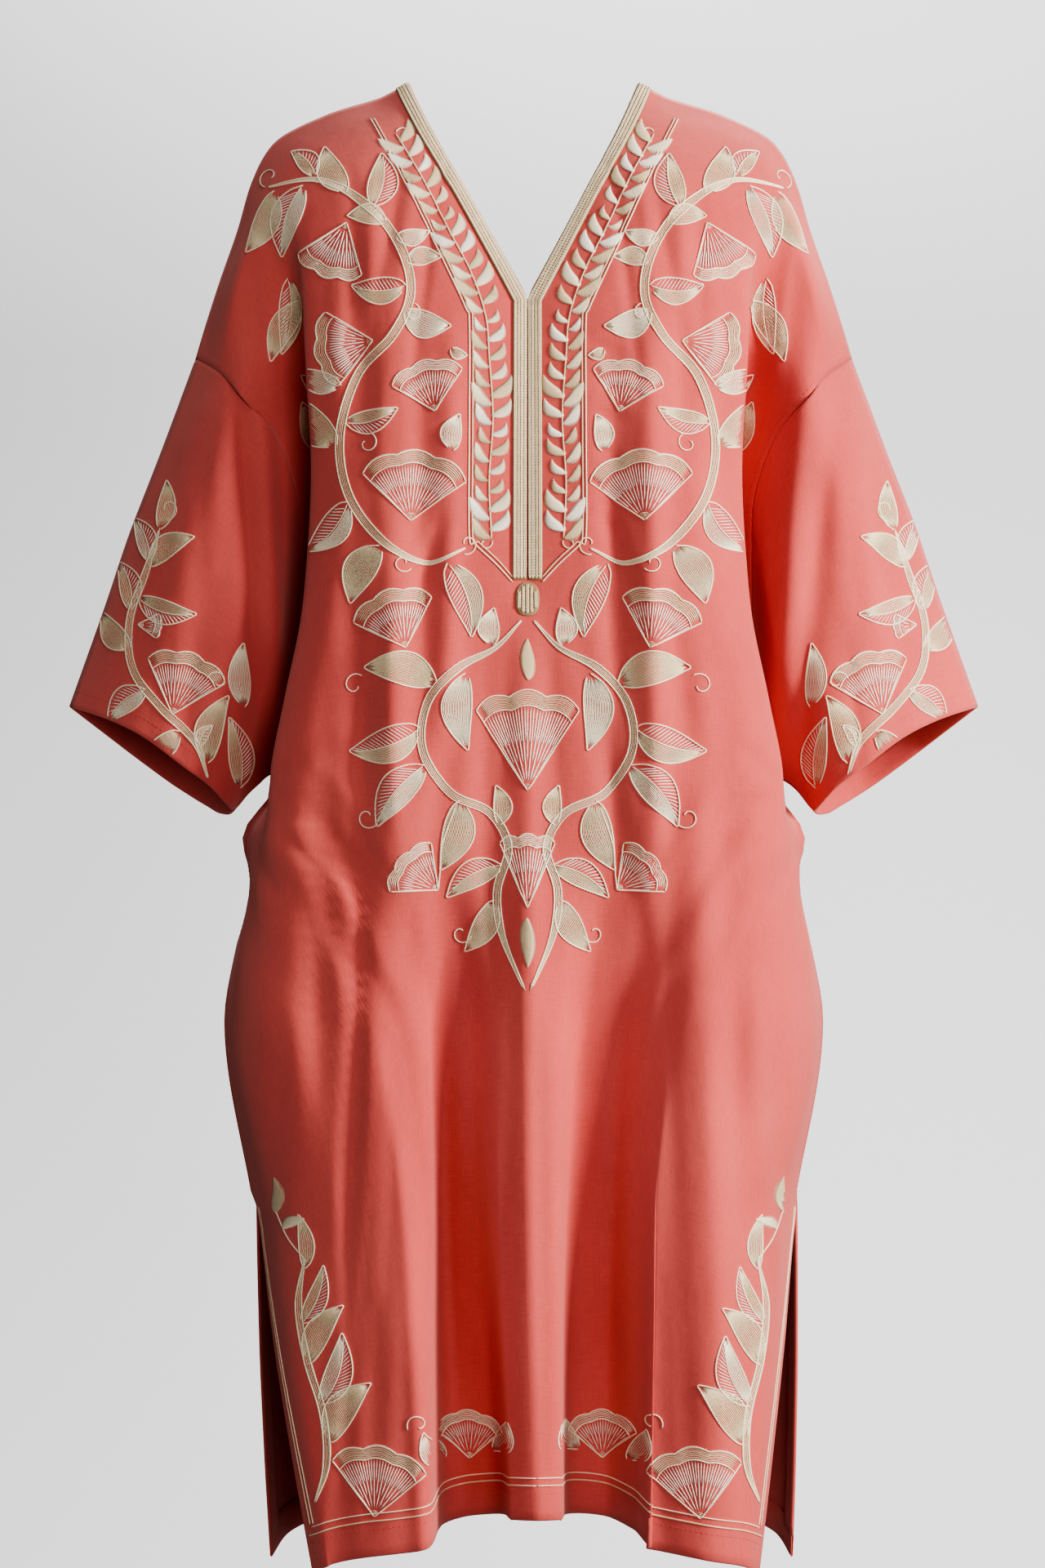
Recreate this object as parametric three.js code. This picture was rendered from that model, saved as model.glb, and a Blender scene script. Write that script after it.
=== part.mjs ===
import * as THREE from "three";

// A worn kaftan in its own frame: +Z up, the front faces -Y, +X is the wearer's left side.
// The origin lies midway between the two points where the neckline crosses the shoulders.
// Every cloth piece is a thin wall laid on a surface that two splines work out: one across
// a level, from the middle of the panel to its side edge, and one down through the levels.

// Driving dimensions, in millimetres
const WALL = 2;
const SEAM_GAP = 0.3;
const SLIT_GAP = 0.4;
const BACK_NECK_DEPTH = 176;
const NECK_HALF_WIDTH = 96;
const BRAID_WIDTH = 11.6;
const BRAID_EDGE_HEIGHT = 1.6;
const BRAID_CROWN_HEIGHT = 2.6;
const BRAID_LIFT = 0.3;
const TAB_HALF_WIDTH = 9.5;
const TAB_LENGTH = 25;
const TAB_DROP = 3;
const TAB_ROUNDNESS = 0.6;
const SWAY_AT_CHEST = 3;
const SWAY_AT_HEM = 11;
const SWAY_LOST_AT_SIDE = 0.4;

// Mesh steps
const COLUMN_STEPS = 17;
const BRAID_COLUMNS = 2;
const SLEEVE_STEPS = 7;
const TAB_STEPS = 6;
const SHARE_STEP = 0.002;

// Shares of a panel's length, from the shoulder seam to the hem
const NECK_POINT = 0.155;
const PLACKET_END = 0.34;
const BACK_MITRE = 0.1635;
const UNDERARM = 0.47;
const HIP = 0.63;
const SLIT_TOP = 0.75;
const PANEL_ROWS = [
  0, 0.018, 0.035, 0.058, 0.08, 0.105, 0.13, NECK_POINT, BACK_MITRE, 0.2, 0.25, 0.295,
  PLACKET_END, 0.38, 0.425, UNDERARM, 0.49, 0.51, 0.545, 0.585, HIP, 0.69,
  SLIT_TOP, 0.795, 0.84, 0.885, 0.93, 0.965, 1,
];
const NECK_ROW = PANEL_ROWS.indexOf(NECK_POINT);
const PLACKET_ROW = PANEL_ROWS.indexOf(PLACKET_END);
const UNDERARM_ROW = PANEL_ROWS.indexOf(UNDERARM);
const SLIT_ROW = PANEL_ROWS.indexOf(SLIT_TOP);

// Levels of a half panel. at: share of the length. middle, side: height of the level at the
// panel's middle and at its side edge, and spread: how late the height drops between them.
// out, depth: distance from the centre line, and distance in front of or behind the shoulders,
// for nine columns: middle, near, chest, bust, drape, lapel, hollow, ridge, side.
const FRONT_LEVELS = [
  { level: "shoulder", at: 0, middle: 0, side: -229, spread: 2.2,
    out: [NECK_HALF_WIDTH, 101, 117, 165, 208, 226, 238, 255, 273],
    depth: [0, 0, 0, 0, 0, 0, 0, 0, 0] },
  { level: "yoke", at: 0.035, middle: -43, side: -246, spread: 3,
    out: [78, 92, 116, 150, 186, 206, 220, 236, 249],
    depth: [45, 46, 46, 44, 42, 44, 46, 50, 42] },
  { level: "collarbone", at: 0.08, middle: -100, side: -268, spread: 3,
    out: [49, 66, 95, 128, 158, 182, 198, 215, 231],
    depth: [78, 84, 90, 90, 84, 76, 58, 56, 60] },
  { level: "neck point", at: NECK_POINT, middle: -192, side: -300, spread: 2,
    out: [0, 30, 65, 104, 140, 176, 178, 188, 204],
    depth: [106, 114, 120, 120, 108, 84, 46, 34, 44] },
  { level: "bust", at: 0.25, middle: -305, side: -365, spread: 2,
    out: [0, 36, 80, 118, 148, 174, 167, 174, 187],
    depth: [120, 127, 131, 126, 106, 76, 34, 15, 18] },
  { level: "placket end", at: PLACKET_END, middle: -418, side: -440, spread: 1,
    out: [0, 38, 84, 128, 170, 183, 178, 179, 187],
    depth: [126, 131, 134, 128, 104, 70, 36, 14, 6] },
  { level: "ribs", at: 0.425, middle: -520, side: -520, spread: 1,
    out: [0, 40, 90, 140, 192, 201, 194, 188, 190],
    depth: [130, 134, 137, 130, 102, 72, 44, 20, 2] },
  { level: "underarm", at: UNDERARM, middle: -580, side: -580, spread: 1,
    out: [0, 42, 95, 148, 201, 212, 208, 202, 203],
    depth: [131, 136, 138, 130, 100, 72, 46, 22, 0] },
  { level: "underarm fold", at: 0.51, middle: -626, side: -628, spread: 1,
    out: [0, 40, 86, 134, 182, 209, 221, 229, 234],
    depth: [132, 137, 139, 134, 117, 92, 56, 26, 0] },
  { level: "waist", at: 0.545, middle: -668, side: -668, spread: 1,
    out: [0, 38, 78, 118, 160, 196, 220, 226, 226],
    depth: [132, 137, 140, 137, 127, 108, 72, 34, 0] },
  { level: "high hip", at: 0.585, middle: -722, side: -722, spread: 1,
    out: [0, 33, 62, 92, 126, 160, 208, 236, 240],
    depth: [134, 137, 139, 138, 135, 126, 94, 44, 0] },
  { level: "hip", at: HIP, middle: -780, side: -780, spread: 1,
    out: [0, 29, 50, 76, 100, 128, 184, 235, 249],
    depth: [138, 137, 130, 130, 136, 139, 126, 66, 0] },
  { level: "slit top", at: SLIT_TOP, middle: -930, side: -934, spread: 1,
    out: [0, 27, 42, 66, 84, 101, 152, 205, 225],
    depth: [143, 134, 110, 102, 122, 146, 138, 84, 0] },
  { level: "thigh", at: 0.84, middle: -1022, side: -1042, spread: 1.4,
    out: [0, 27, 38, 62, 81, 96, 146, 192, 209],
    depth: [145, 135, 101, 87, 112, 149, 145, 104, 44] },
  { level: "knee", at: 0.93, middle: -1105, side: -1136, spread: 1.5,
    out: [0, 26, 35, 59, 78, 92, 138, 180, 195],
    depth: [146, 136, 95, 77, 104, 150, 149, 126, 80] },
  { level: "hem", at: 1, middle: -1170, side: -1217, spread: 1.6,
    out: [0, 26, 33, 57, 76, 89, 134, 170, 183],
    depth: [147, 136, 91, 71, 98, 151, 150, 139, 105] },
];

const BACK_LEVELS = [
  { level: "shoulder", at: 0, middle: 0, side: -229, spread: 2.2,
    out: [NECK_HALF_WIDTH, 101, 117, 165, 208, 226, 238, 255, 273],
    depth: [0, 0, 0, 0, 0, 0, 0, 0, 0] },
  { level: "yoke", at: 0.035, middle: -40, side: -244, spread: 3,
    out: [91, 101, 120, 152, 188, 208, 222, 238, 251],
    depth: [40, 41, 42, 42, 40, 40, 41, 42, 37] },
  { level: "blade", at: 0.08, middle: -105, side: -264, spread: 2.6,
    out: [70, 82, 104, 134, 164, 188, 204, 220, 236],
    depth: [74, 77, 80, 82, 78, 72, 58, 50, 50] },
  { level: "neck point", at: NECK_POINT, middle: -BACK_NECK_DEPTH, side: -300, spread: 1.4,
    out: [0, 32, 66, 102, 138, 172, 186, 198, 212],
    depth: [97, 100, 105, 108, 102, 86, 56, 36, 38] },
  { level: "bust", at: 0.25, middle: -300, side: -365, spread: 1.6,
    out: [0, 36, 78, 116, 150, 178, 178, 184, 195],
    depth: [112, 115, 118, 116, 106, 84, 50, 24, 18] },
  { level: "placket end", at: PLACKET_END, middle: -418, side: -440, spread: 1,
    out: [0, 38, 82, 124, 162, 186, 188, 187, 193],
    depth: [114, 117, 120, 118, 106, 82, 50, 22, 6] },
  { level: "ribs", at: 0.425, middle: -520, side: -520, spread: 1,
    out: [0, 40, 86, 132, 176, 200, 200, 194, 194],
    depth: [112, 116, 119, 118, 104, 78, 50, 24, 2] },
  { level: "underarm", at: UNDERARM, middle: -580, side: -580, spread: 1,
    out: [0, 42, 90, 138, 184, 208, 211, 206, 203],
    depth: [112, 116, 119, 118, 104, 78, 50, 24, 0] },
  { level: "underarm fold", at: 0.51, middle: -626, side: -628, spread: 1,
    out: [0, 43, 90, 134, 176, 204, 220, 229, 234],
    depth: [113, 117, 119, 119, 110, 90, 56, 26, 0] },
  { level: "waist", at: 0.545, middle: -668, side: -668, spread: 1,
    out: [0, 43, 82, 118, 154, 188, 214, 226, 226],
    depth: [115, 118, 120, 120, 114, 100, 70, 34, 0] },
  { level: "high hip", at: 0.585, middle: -722, side: -722, spread: 1,
    out: [0, 41, 72, 104, 136, 170, 206, 234, 240],
    depth: [119, 121, 121, 120, 121, 116, 90, 46, 0] },
  { level: "hip", at: HIP, middle: -782, side: -780, spread: 1,
    out: [0, 40, 64, 90, 118, 152, 196, 236, 249],
    depth: [124, 125, 118, 117, 123, 126, 108, 60, 0] },
  { level: "slit top", at: SLIT_TOP, middle: -944, side: -934, spread: 1,
    out: [0, 40, 64, 88, 114, 146, 186, 214, 225],
    depth: [126, 124, 108, 98, 112, 128, 112, 66, 0] },
  { level: "thigh", at: 0.84, middle: -1038, side: -1046, spread: 1.6,
    out: [0, 38, 60, 84, 108, 140, 186, 216, 226],
    depth: [128, 124, 100, 86, 106, 130, 120, 78, 30] },
  { level: "knee", at: 0.93, middle: -1126, side: -1152, spread: 2,
    out: [0, 37, 57, 81, 104, 136, 184, 214, 224],
    depth: [129, 124, 95, 78, 102, 131, 124, 88, 46] },
  { level: "hem", at: 1, middle: -1192, side: -1236, spread: 2.4,
    out: [0, 36, 55, 79, 102, 134, 182, 211, 221],
    depth: [130, 124, 92, 73, 99, 132, 126, 94, 58] },
];

// Sleeve sections behind the armhole, which the panels give: halfway along, and the cuff.
// Each has the points from the top of the sleeve, round its front or back, to its underside.
const SLEEVE_SECTIONS = {
  middle: {
    front: { out: [326, 302, 270, 226, 208, 208, 214, 222], depth: [0, 42, 68, 74, 48, 24, 11, 0],
      height: [-373, -384, -400, -432, -472, -512, -556, -590] },
    back: { out: [326, 304, 276, 238, 218, 213, 217, 222], depth: [0, 34, 56, 60, 44, 26, 12, 0],
      height: [-373, -386, -404, -438, -478, -516, -558, -590] },
  },
  cuff: {
    front: { out: [378, 348, 316, 281, 256, 246, 242, 241], depth: [0, 34, 58, 66, 52, 32, 14, 0],
      height: [-518, -527, -541, -566, -585, -597, -603, -605] },
    back: { out: [378, 354, 332, 293, 268, 254, 246, 241], depth: [0, 24, 44, 56, 46, 28, 13, 0],
      height: [-518, -538, -556, -585, -600, -607, -608, -605] },
  },
};
const SLEEVE_LEVELS = [0, 0.035, 0.08, NECK_POINT, 0.25, PLACKET_END, 0.425, UNDERARM];

// A smooth curve through values at given knots that never swings past them
function through(knots, values, place) {
  let k = 0;
  while (k < knots.length - 2 && place > knots[k + 1]) k += 1;
  const slope = (i) => (values[i + 1] - values[i]) / (knots[i + 1] - knots[i]);
  const tangent = (i) => {
    if (i === 0) return slope(0);
    if (i === knots.length - 1) return slope(i - 1);
    const before = slope(i - 1);
    const after = slope(i);
    return before * after <= 0 ? 0 : (2 * before * after) / (before + after);
  };
  const span = knots[k + 1] - knots[k];
  const s = (place - knots[k]) / span;
  const rest = 1 - s;
  return (
    values[k] * rest * rest * (1 + 2 * s) +
    values[k + 1] * s * s * (3 - 2 * s) +
    tangent(k) * span * s * rest * rest -
    tangent(k + 1) * span * s * s * rest
  );
}

// A point of a half panel. across: 0 at the middle, 1 at the side edge. facing: -1 front, 1 back
function panelPoint(levels, facing, side, across, at) {
  const columns = levels[0].out.map((_, i) => i / (levels[0].out.length - 1));
  const knots = levels.map((level) => level.at);
  const outs = levels.map((l) => through(columns, l.out, across));
  const edges = levels.map((l) => l.out[0]);
  const neckLevels = knots.indexOf(NECK_POINT) + 1;
  // The neck edge runs straight to its point, where the smooth curve would round off
  const straight = through(knots.slice(0, neckLevels), edges.slice(0, neckLevels), Math.min(at, NECK_POINT));
  const correction = at < NECK_POINT ? straight - through(knots, edges, at) : 0;
  const out = through(knots, outs, at) + correction * (1 - across) ** 3;
  const depth = through(knots, levels.map((l) => through(columns, l.depth, across)), at);
  const height = through(
    knots,
    levels.map((l) => l.middle + (l.side - l.middle) * across ** l.spread),
    at,
  );
  return new THREE.Vector3(
    side * Math.max(out, SLIT_GAP / 2) + sway(across, at),
    facing * (depth + SEAM_GAP / 2),
    height,
  );
}

// The whole front hangs a little to the wearer's left, most at the hem
function sway(across, at) {
  const most = through([0, NECK_POINT, HIP, 1], [0, SWAY_AT_CHEST, SWAY_AT_CHEST, SWAY_AT_HEM], at);
  return most * (1 - SWAY_LOST_AT_SIDE * across) * (at > UNDERARM && at < SLIT_TOP ? 1 - across ** 4 : 1);
}

// How far across the braid reaches, so that the panel's facets match the braid's
function braidShare(levels, facing, side, at) {
  const edge = panelPoint(levels, facing, side, 0, at);
  let share = 0;
  while (panelPoint(levels, facing, side, share, at).distanceTo(edge) < BRAID_WIDTH) share += SHARE_STEP;
  return share;
}

// Rows of points of one half panel
function halfPanel(levels, facing, side) {
  return PANEL_ROWS.map((at) => {
    const first = braidShare(levels, facing, side, at);
    const shares = [0, first / 2];
    const rest = COLUMN_STEPS - BRAID_COLUMNS;
    for (let i = 0; i <= rest; i += 1) shares.push(first + ((1 - first) * i) / rest);
    return shares.map((share) => panelPoint(levels, facing, side, share, at));
  });
}

// A sheet of quads on shared points, which becomes a wall
function newSheet() {
  return { points: [], quads: [], normals: [] };
}

function addPoint(sheet, point) {
  sheet.points.push(point);
  return sheet.points.length - 1;
}

// Normals from the faces round each point
function findNormals(sheet) {
  sheet.normals = sheet.points.map(() => new THREE.Vector3());
  for (const [a, b, c, d] of sheet.quads) {
    const first = sheet.points[c].clone().sub(sheet.points[a]);
    const second = sheet.points[d].clone().sub(sheet.points[b]);
    const normal = first.cross(second);
    for (const corner of [a, b, c, d]) sheet.normals[corner].add(normal);
  }
  sheet.normals.forEach((normal) => normal.normalize());
}

function keepLevel(normal, axis) {
  normal[axis] = 0;
  normal.normalize();
}

// A closed solid from the points and their heights above and below along the normals
function solidFrom(sheet, above, below) {
  const positions = [];
  const place = (i, height) => sheet.points[i].clone().addScaledVector(sheet.normals[i], height);
  const triangle = (p, q, r) => positions.push(...p.toArray(), ...q.toArray(), ...r.toArray());
  const quad = (p, q, r, s) => {
    triangle(p, q, r);
    triangle(p, r, s);
  };
  const edges = new Map();
  for (const corners of sheet.quads) {
    const [a, b, c, d] = corners;
    quad(...[a, b, c, d].map((i) => place(i, above(i))));
    const [e, f, g, h] = [a, b, c, d].map((i) => place(i, below(i)));
    triangle(e, g, f);
    triangle(e, h, g);
    corners.forEach((from, i) => {
      const to = corners[(i + 1) % 4];
      if (edges.has(to + "," + from)) edges.delete(to + "," + from);
      else edges.set(from + "," + to, [from, to]);
    });
  }
  for (const [from, to] of edges.values()) {
    quad(place(to, above(to)), place(from, above(from)), place(from, below(from)), place(to, below(to)));
  }
  const geometry = new THREE.BufferGeometry();
  geometry.setAttribute("position", new THREE.Float32BufferAttribute(positions, 3));
  geometry.computeVertexNormals();
  return geometry;
}

function wallFrom(sheet) {
  return solidFrom(sheet, () => WALL / 2, () => -WALL / 2);
}

// A whole panel: two halves that share the centre line below joinRow
function wholePanel(levels, facing, joinRow) {
  const sheet = newSheet();
  const halves = {};
  for (const side of [-1, 1]) {
    halves[side] = halfPanel(levels, facing, side).map((row, j) =>
      row.map((point, i) => {
        if (i > 0 || j < joinRow) return addPoint(sheet, point);
        if (side === 1) return halves[-1][j][0];
        point.x += SLIT_GAP / 2;
        return addPoint(sheet, point);
      }),
    );
  }
  for (const side of [-1, 1]) {
    const grid = halves[side];
    for (let j = 0; j + 1 < grid.length; j += 1) {
      for (let i = 0; i + 1 < grid[j].length; i += 1) {
        const corners = [grid[j][i], grid[j][i + 1], grid[j + 1][i + 1], grid[j + 1][i]];
        sheet.quads.push(side * facing > 0 ? corners.reverse() : corners);
      }
    }
  }
  findNormals(sheet);
  for (const side of [-1, 1]) {
    const grid = halves[side];
    grid[0].forEach((i) => keepLevel(sheet.normals[i], "y"));
    for (let j = UNDERARM_ROW; j <= SLIT_ROW; j += 1) {
      keepLevel(sheet.normals[grid[j][COLUMN_STEPS]], "y");
    }
    for (let j = NECK_ROW; j <= joinRow; j += 1) keepLevel(sheet.normals[grid[j][0]], "x");
  }
  return { sheet, halves };
}

const front = wholePanel(FRONT_LEVELS, -1, PLACKET_ROW);
const back = wholePanel(BACK_LEVELS, 1, NECK_ROW);

// A sleeve: rings from the armhole, which follows both panels' edges, to the cuff
function sleeve(side) {
  const sheet = newSheet();
  const frontEdge = [];
  const backEdge = [];
  for (let j = 0; j <= UNDERARM_ROW; j += 1) {
    frontEdge.push(front.halves[side][j][COLUMN_STEPS]);
    backEdge.push(back.halves[side][j][COLUMN_STEPS]);
  }
  const ring = [];
  const section = (name, half, sign, j) => {
    const table = SLEEVE_SECTIONS[name][half];
    const at = PANEL_ROWS[j];
    const seam = sign * (j === 0 || j === UNDERARM_ROW ? 0 : SEAM_GAP / 2);
    return new THREE.Vector3(
      side * through(SLEEVE_LEVELS, table.out, at),
      sign * through(SLEEVE_LEVELS, table.depth, at) + seam,
      through(SLEEVE_LEVELS, table.height, at),
    );
  };
  for (let j = 0; j <= UNDERARM_ROW; j += 1) {
    ring.push({ panel: front, edge: frontEdge[j], half: "front", sign: -1, j });
  }
  for (let j = UNDERARM_ROW - 1; j > 0; j -= 1) {
    ring.push({ panel: back, edge: backEdge[j], half: "back", sign: 1, j });
  }
  const columns = ring.map(({ panel, edge, half, sign, j }) => {
    const start = panel.sheet.points[edge].clone();
    if (j === 0 || j === UNDERARM_ROW) start.y = 0;
    const middle = section("middle", half, sign, j);
    const cuff = section("cuff", half, sign, j);
    const column = [];
    for (let k = 0; k <= SLEEVE_STEPS; k += 1) {
      const s = k / SLEEVE_STEPS;
      const point = start.clone();
      for (const axis of ["x", "y", "z"]) {
        point[axis] = through([0, 0.5, 1], [start[axis], middle[axis], cuff[axis]], s);
      }
      column.push(addPoint(sheet, point));
    }
    return column;
  });
  columns.forEach((column, i) => {
    const next = columns[(i + 1) % columns.length];
    for (let k = 0; k < SLEEVE_STEPS; k += 1) {
      const corners = [column[k], next[k], next[k + 1], column[k + 1]];
      sheet.quads.push(side > 0 ? corners.reverse() : corners);
    }
  });
  findNormals(sheet);
  // Both walls turn the same way at the seam, and the sleeve stands off by the seam's gap
  const starts = columns.map((column) => sheet.points[column[0]].clone());
  ring.forEach(({ panel, edge, j }, i) => {
    const first = columns[i][0];
    const normal = panel.sheet.normals[edge].clone().add(sheet.normals[first]).normalize();
    if (j === 0 || j === UNDERARM_ROW) keepLevel(normal, "y");
    const before = starts[(i + starts.length - 1) % starts.length];
    const after = starts[(i + 1) % starts.length];
    const along = after.clone().sub(before).normalize();
    const away = along.cross(normal).multiplyScalar(-side).normalize();
    if (away.dot(sheet.points[columns[i][1]].clone().sub(sheet.points[first])) < 0) away.negate();
    sheet.points[first].addScaledVector(away, SEAM_GAP * 1.5);
    sheet.normals[first].copy(normal);
    panel.sheet.normals[edge].copy(normal);
    if (j === 0 || j === UNDERARM_ROW) back.sheet.normals[backEdge[j]].copy(normal);
  });
  return sheet;
}

// A point of a panel's outer face, moved out just clear of it
function liftedPoint(sheet, panel, i) {
  const normal = panel.sheet.normals[i];
  sheet.normals.push(normal.clone());
  return addPoint(sheet, panel.sheet.points[i].clone().addScaledVector(normal, WALL / 2 + BRAID_LIFT));
}

// Rows of a band along a neck edge: its back copies the panel's facets
function neckBraid(sheet, panel, side, lastRow) {
  return panel.halves[side]
    .slice(0, lastRow + 1)
    .map((row) => row.slice(0, BRAID_COLUMNS + 1).map((i) => liftedPoint(sheet, panel, i)));
}

function addBand(sheet, rows, turned) {
  for (let j = 0; j + 1 < rows.length; j += 1) {
    for (let i = 0; i < BRAID_COLUMNS; i += 1) {
      const corners = [rows[j][i], rows[j][i + 1], rows[j + 1][i + 1], rows[j + 1][i]];
      sheet.quads.push(turned ? corners.reverse() : corners);
    }
  }
}

// The band's middle column stands highest, as the cords do
function bandSolid(sheet, rows) {
  const crown = new Set(rows.map((row) => row[1]));
  return solidFrom(sheet, (i) => (crown.has(i) ? BRAID_CROWN_HEIGHT : BRAID_EDGE_HEIGHT), () => 0);
}

function frontBraid(side) {
  const sheet = newSheet();
  const rows = neckBraid(sheet, front, side, PLACKET_ROW);
  addBand(sheet, rows, side < 0);
  return bandSolid(sheet, rows);
}

// The back braid runs down both sides of the back neck to a mitred point
function backBraid() {
  const sheet = newSheet();
  const right = neckBraid(sheet, back, -1, NECK_ROW);
  const left = neckBraid(sheet, back, 1, NECK_ROW);
  left[NECK_ROW][0] = right[NECK_ROW][0];
  const point = liftedPoint(sheet, back, back.halves[1][NECK_ROW + 1][0]);
  const [corner, rightMiddle, rightOuter] = right[NECK_ROW];
  const [, leftMiddle, leftOuter] = left[NECK_ROW];
  addBand(sheet, right, false);
  addBand(sheet, left, true);
  sheet.quads.push([rightMiddle, rightOuter, point, corner], [leftMiddle, corner, point, leftOuter]);
  return bandSolid(sheet, [...right, ...left]);
}

// The tab that ends the placket: an oval pad on the front panel's facets
function endTab() {
  const sheet = newSheet();
  const rows = [];
  const seat = (x, z) => {
    for (let j = PLACKET_ROW; j + 1 < PANEL_ROWS.length; j += 1) {
      const side = x < front.sheet.points[front.halves[1][j][0]].x ? -1 : 1;
      const top = front.halves[side][j];
      const low = front.halves[side][j + 1];
      const p = front.sheet.points;
      const down = (p[top[0]].z - z) / (p[top[0]].z - p[low[0]].z);
      if (down > 1) continue;
      const left = p[top[0]].clone().lerp(p[low[0]], down);
      const right = p[top[BRAID_COLUMNS]].clone().lerp(p[low[BRAID_COLUMNS]], down);
      const share = (x - left.x) / (right.x - left.x);
      return left.lerp(right, share);
    }
    return null;
  };
  const middle = front.sheet.points[front.halves[1][PLACKET_ROW][0]];
  for (let j = 0; j <= TAB_STEPS; j += 1) {
    const turn = (Math.PI * (j + 0.5)) / (TAB_STEPS + 1);
    const half = TAB_HALF_WIDTH * Math.sin(turn) ** TAB_ROUNDNESS;
    const z = middle.z - TAB_DROP - (TAB_LENGTH * (1 - Math.cos(turn))) / 2;
    rows.push(
      [-1, 0, 1].map((share) => {
        const point = seat(middle.x + share * half, z);
        point.y -= WALL / 2 + 2 * BRAID_LIFT;
        sheet.normals.push(new THREE.Vector3(0, -1, 0));
        return addPoint(sheet, point);
      }),
    );
  }
  addBand(sheet, rows, true);
  return bandSolid(sheet, rows);
}

const CORAL = new THREE.MeshStandardMaterial({ color: 0xd9705c, roughness: 0.8, metalness: 0 });
const BEIGE = new THREE.MeshStandardMaterial({ color: 0xcdb591, roughness: 0.7, metalness: 0 });

const kaftan = new THREE.Group();

function addPiece(name, geometry, material) {
  const mesh = new THREE.Mesh(geometry, material);
  mesh.name = name;
  kaftan.add(mesh);
}

// The sleeves settle the shared seam normals, so they come before the panels
addPiece("sleeve_right", wallFrom(sleeve(-1)), CORAL);
addPiece("sleeve_left", wallFrom(sleeve(1)), CORAL);
addPiece("front_panel", wallFrom(front.sheet), CORAL);
addPiece("back_panel", wallFrom(back.sheet), CORAL);
addPiece("neck_braid_right", frontBraid(-1), BEIGE);
addPiece("neck_braid_left", frontBraid(1), BEIGE);
addPiece("neck_braid_back", backBraid(), BEIGE);
addPiece("placket_tab", endTab(), BEIGE);

export default kaftan;
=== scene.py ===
import math
import bpy
import numpy as np
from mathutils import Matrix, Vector
from mathutils.bvhtree import BVHTree


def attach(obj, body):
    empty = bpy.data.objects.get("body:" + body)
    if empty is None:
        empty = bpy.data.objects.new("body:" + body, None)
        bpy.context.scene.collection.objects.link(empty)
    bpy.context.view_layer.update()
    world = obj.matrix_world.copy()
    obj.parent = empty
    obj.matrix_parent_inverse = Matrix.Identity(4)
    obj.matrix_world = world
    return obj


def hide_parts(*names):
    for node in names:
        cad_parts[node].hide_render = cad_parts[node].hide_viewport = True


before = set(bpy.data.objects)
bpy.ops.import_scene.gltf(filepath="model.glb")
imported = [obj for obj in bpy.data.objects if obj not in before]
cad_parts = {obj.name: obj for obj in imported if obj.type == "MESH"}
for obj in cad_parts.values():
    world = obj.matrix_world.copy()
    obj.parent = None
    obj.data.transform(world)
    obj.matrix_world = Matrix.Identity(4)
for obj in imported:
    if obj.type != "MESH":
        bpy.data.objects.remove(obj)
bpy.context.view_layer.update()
bpy.ops.object.select_all(action="DESELECT")

# The studio: one pale grey sweep of paper, its floor far below the hem, and plain soft light.
# The brighter soft box stands at the right of the picture, as the garment's lit side shows.
SWEEP_HALF_WIDTH = 7.0
FLOOR_LEVEL = -1.9
SWEEP_FRONT = -5.0
SWEEP_BACK = 3.2
SWEEP_RADIUS = 2.0
SWEEP_TOP = 4.5
SWEEP_ARC_STEPS = 24


def paper_sweep():
    """The paper is drawn on its front only, so that it hides nothing in a view from behind."""
    profile = [(SWEEP_FRONT, FLOOR_LEVEL), (SWEEP_BACK - SWEEP_RADIUS, FLOOR_LEVEL)]
    for i in range(1, SWEEP_ARC_STEPS + 1):
        turn = 0.5 * math.pi * i / SWEEP_ARC_STEPS
        y = SWEEP_BACK - SWEEP_RADIUS + SWEEP_RADIUS * math.sin(turn)
        profile.append((y, FLOOR_LEVEL + SWEEP_RADIUS * (1 - math.cos(turn))))
    profile.append((SWEEP_BACK, SWEEP_TOP))
    points = [(side * SWEEP_HALF_WIDTH, y, z) for y, z in profile for side in (-1, 1)]
    faces = [(2 * i, 2 * i + 1, 2 * i + 3, 2 * i + 2) for i in range(len(profile) - 1)]
    mesh = bpy.data.meshes.new("paper_sweep")
    mesh.from_pydata(points, [], faces)
    mesh.shade_smooth()
    sweep = bpy.data.objects.new("paper_sweep", mesh)
    bpy.context.collection.objects.link(sweep)
    paper = bpy.data.materials.new("pale_paper")
    paper.use_nodes = True
    shader = paper.node_tree.nodes["Principled BSDF"]
    shader.inputs["Base Color"].default_value = (0.74, 0.745, 0.75, 1)
    shader.inputs["Roughness"].default_value = 0.95
    behind = paper.node_tree.nodes.new("ShaderNodeNewGeometry")
    clear = paper.node_tree.nodes.new("ShaderNodeBsdfTransparent")
    either = paper.node_tree.nodes.new("ShaderNodeMixShader")
    paper.node_tree.links.new(behind.outputs["Backfacing"], either.inputs["Fac"])
    paper.node_tree.links.new(shader.outputs["BSDF"], either.inputs[1])
    paper.node_tree.links.new(clear.outputs["BSDF"], either.inputs[2])
    surface = paper.node_tree.nodes["Material Output"].inputs["Surface"]
    paper.node_tree.links.new(either.outputs["Shader"], surface)
    mesh.materials.append(paper)
    sweep.visible_diffuse = False
    return sweep


paper_sweep()


def soft_box(name, place, target, size, power, colour):
    light = bpy.data.lights.new(name, "AREA")
    light.shape = "RECTANGLE"
    light.size, light.size_y = size
    light.energy = power
    light.color = colour
    lamp = bpy.data.objects.new(name, light)
    lamp.location = place
    lamp.rotation_euler = (Vector(target) - Vector(place)).to_track_quat("-Z", "Y").to_euler()
    bpy.context.collection.objects.link(lamp)


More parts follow.
